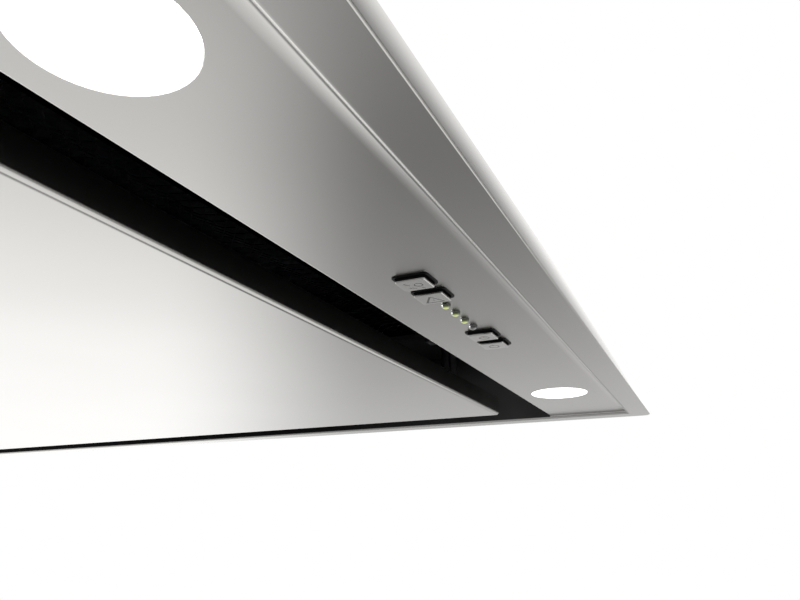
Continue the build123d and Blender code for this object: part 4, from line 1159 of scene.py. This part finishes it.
path = tree.nodes.new("ShaderNodeLightPath")
seen = calculate(tree, "MAXIMUM", path.outputs["Is Camera Ray"], path.outputs["Is Transmission Ray"])
unseen = choose(tree, path.outputs["Is Glossy Ray"], mirrored, fill_level)
background = tree.nodes["Background"]
tree.links.new(choose(tree, seen, white_level, unseen), background.inputs["Strength"])
background.inputs["Color"].default_value = (1, 1, 1, 1)
print("levels for camera and fill:", white_level, fill_level)

# %% [markdown]
# ### Floor and ceiling
# The pale floor takes the hood's shadow. The ceiling that the hood hangs in is one white sheet
# with an opening, lit from below and clear from above, so that it hides the housing in the
# picture and shows it from above. What the steel mirrors of it is graded: bright right beside
# the frame, then shaded, more in front than at the far side, and white again farther out.

# %% Floor
def stage_sheet(name, corners, material, faces=((0, 1, 2, 3),)):
    """A flat sheet that belongs to the studio, not to the hood."""
    mesh = bpy.data.meshes.new(name)
    mesh.from_pydata(corners, [], [list(face) for face in faces])
    flat = bpy.data.objects.new(name, mesh)
    bpy.context.scene.collection.objects.link(flat)
    mesh.materials.append(material)
    return flat


floor_z = -1.9
span = 5.0
floor_paint = finish("pale_floor", (0.80, 0.80, 0.80), 0.9)
floor_corners = [(x, y, floor_z) for x, y in four_corners[::-1] * span]
floor = stage_sheet("studio_floor", floor_corners, floor_paint)
floor.visible_glossy = False
print("floor at:", floor_z)

# %% Ceiling
beside_frame, past_edge, edge_width = 1.25, 0.10, 7 * mm
front_y, far_y, far_gain = -0.12, 0.35, 1.35
open_from, open_to, open_level = 15 * mm, 60 * mm, 0.95
ceiling_paint = bpy.data.materials.new("white_ceiling")
ceiling_paint.use_nodes = True
tree = ceiling_paint.node_tree
tree.nodes.remove(tree.nodes["Principled BSDF"])
x, y, _ = object_axes(tree)
beside_end = calculate(tree, "SUBTRACT", calculate(tree, "ABSOLUTE", x), frame_high.x)
beside_side = calculate(tree, "SUBTRACT", calculate(tree, "ABSOLUTE", y), frame_high.y)
beside = calculate(tree, "MAXIMUM", beside_end, beside_side)
fade = ramped(tree, beside, 0.0, edge_width, beside_frame, past_edge)
farther = ramped(tree, y, front_y, far_y, 0.0, far_gain)
open_ceiling = ramped(tree, beside, open_from, open_to, 0.0, open_level)
reflected = calculate(tree, "MAXIMUM", calculate(tree, "ADD", fade, farther), open_ceiling)
glow = tree.nodes.new("ShaderNodeEmission")
is_seen = tree.nodes.new("ShaderNodeLightPath").outputs["Is Camera Ray"]
tree.links.new(choose(tree, is_seen, white_level, reflected), glow.inputs["Strength"])
either_side = tree.nodes.new("ShaderNodeMixShader")
tree.links.new(tree.nodes.new("ShaderNodeNewGeometry").outputs["Backfacing"], either_side.inputs["Fac"])
tree.links.new(glow.outputs[0], either_side.inputs[1])
tree.links.new(tree.nodes.new("ShaderNodeBsdfTransparent").outputs[0], either_side.inputs[2])
tree.links.new(either_side.outputs[0], tree.nodes["Material Output"].inputs["Surface"])

ceiling_z = 0.3 * mm
hidden_lip = 5 * mm
inner = np.array([frame_high.x - hidden_lip, frame_high.y - hidden_lip])
ceiling_points = np.concatenate([four_corners * inner, four_corners * span])
ceiling_points = np.column_stack([ceiling_points, np.full(8, ceiling_z)])
ceiling_faces = [[n + 4, (n + 1) % 4 + 4, (n + 1) % 4, n] for n in range(4)]
ceiling = stage_sheet("studio_ceiling", ceiling_points.tolist(), ceiling_paint, ceiling_faces)
ceiling.visible_diffuse = False
ceiling.visible_shadow = False
print("ceiling opening, half sizes:", inner.round(3).tolist())

# %% [markdown]
# ### Lamps
# A wide soft lamp stands on the window side and one hangs over the housing, for the views from
# above. Two small lamps reach single pieces: one the black inside at the slot's end, which is
# faintly lit in the picture, and one that the clear light domes mirror.

# %% Lamps
def soft_lamp(name, place, aim, size, power, spread=180, only=()):
    """A square area lamp that points at a place, for the whole hood or only for some pieces."""
    light = bpy.data.lights.new(name, "AREA")
    light.size = size
    light.energy = power
    light.spread = radians(spread)
    lamp = bpy.data.objects.new(name, light)
    bpy.context.scene.collection.objects.link(lamp)
    lamp.location = place
    lamp.rotation_euler = (Vector(aim) - Vector(place)).to_track_quat("-Z", "Y").to_euler()
    lamp.visible_glossy = False
    lamp.visible_camera = False
    if only:
        group = bpy.data.collections.new(name)
        for piece in only:
            group.objects.link(bpy.data.objects[piece])
        lamp.light_linking.receiver_collection = group
    return lamp


domes = [f"light_dome_{number}" for number in numbers]
soft_lamp("window_left", (-2.6, 2.0, -0.7), (0.0, 0.2, 0.0), size=1.8, power=18, spread=90)
soft_lamp("overhead", (-1.4, -1.8, 2.2), (0.0, 0.0, 0.2), size=2.2, power=70)
soft_lamp("slot_end", (0.445, 0.10, -0.28), (0.445, 0.32, 0.02), size=0.10, power=0.9, spread=70,
          only=["filter_deck"])
glint = soft_lamp("dome_glint", (0.108, -0.054, -0.099), (0.494, 0.0, -0.009), size=0.26, power=1.5,
                  only=domes)
glint.visible_glossy = True
print("lamps:", len(bpy.data.lights))

# %% [markdown]
# ## Camera
# The picture was taken from just outside the right-hand end, a hand's width under the ceiling,
# looking along the strip and up. The edges of the frame, the slot and the lamp in the picture
# fix the camera's place and turn, and its focal length in pixels of a picture 800 wide.

# %% Camera
sensor_width = 36
focal_pixels = 662.3
picture_pixels = 800
eye = (0.6052, -0.3033, -0.1104)
turn_left, look_up, tilt = radians(25.58), radians(19.08), radians(0.23)
camera_data = bpy.data.cameras.new("photograph")
camera_data.sensor_width = sensor_width
camera_data.lens = sensor_width * focal_pixels / picture_pixels
camera_data.clip_start = 10 * mm
camera = bpy.data.objects.new("photograph", camera_data)
bpy.context.scene.collection.objects.link(camera)
camera.matrix_world = (
    Matrix.Translation(eye)
    @ Matrix.Rotation(turn_left, 4, "Z")
    @ Matrix.Rotation(pi / 2 + look_up, 4, "X")
    @ Matrix.Rotation(tilt, 4, "Z")
)
bpy.context.scene.camera = camera
bpy.context.scene.view_settings.view_transform = "Standard"
print("lens in mm:", round(camera_data.lens, 2))
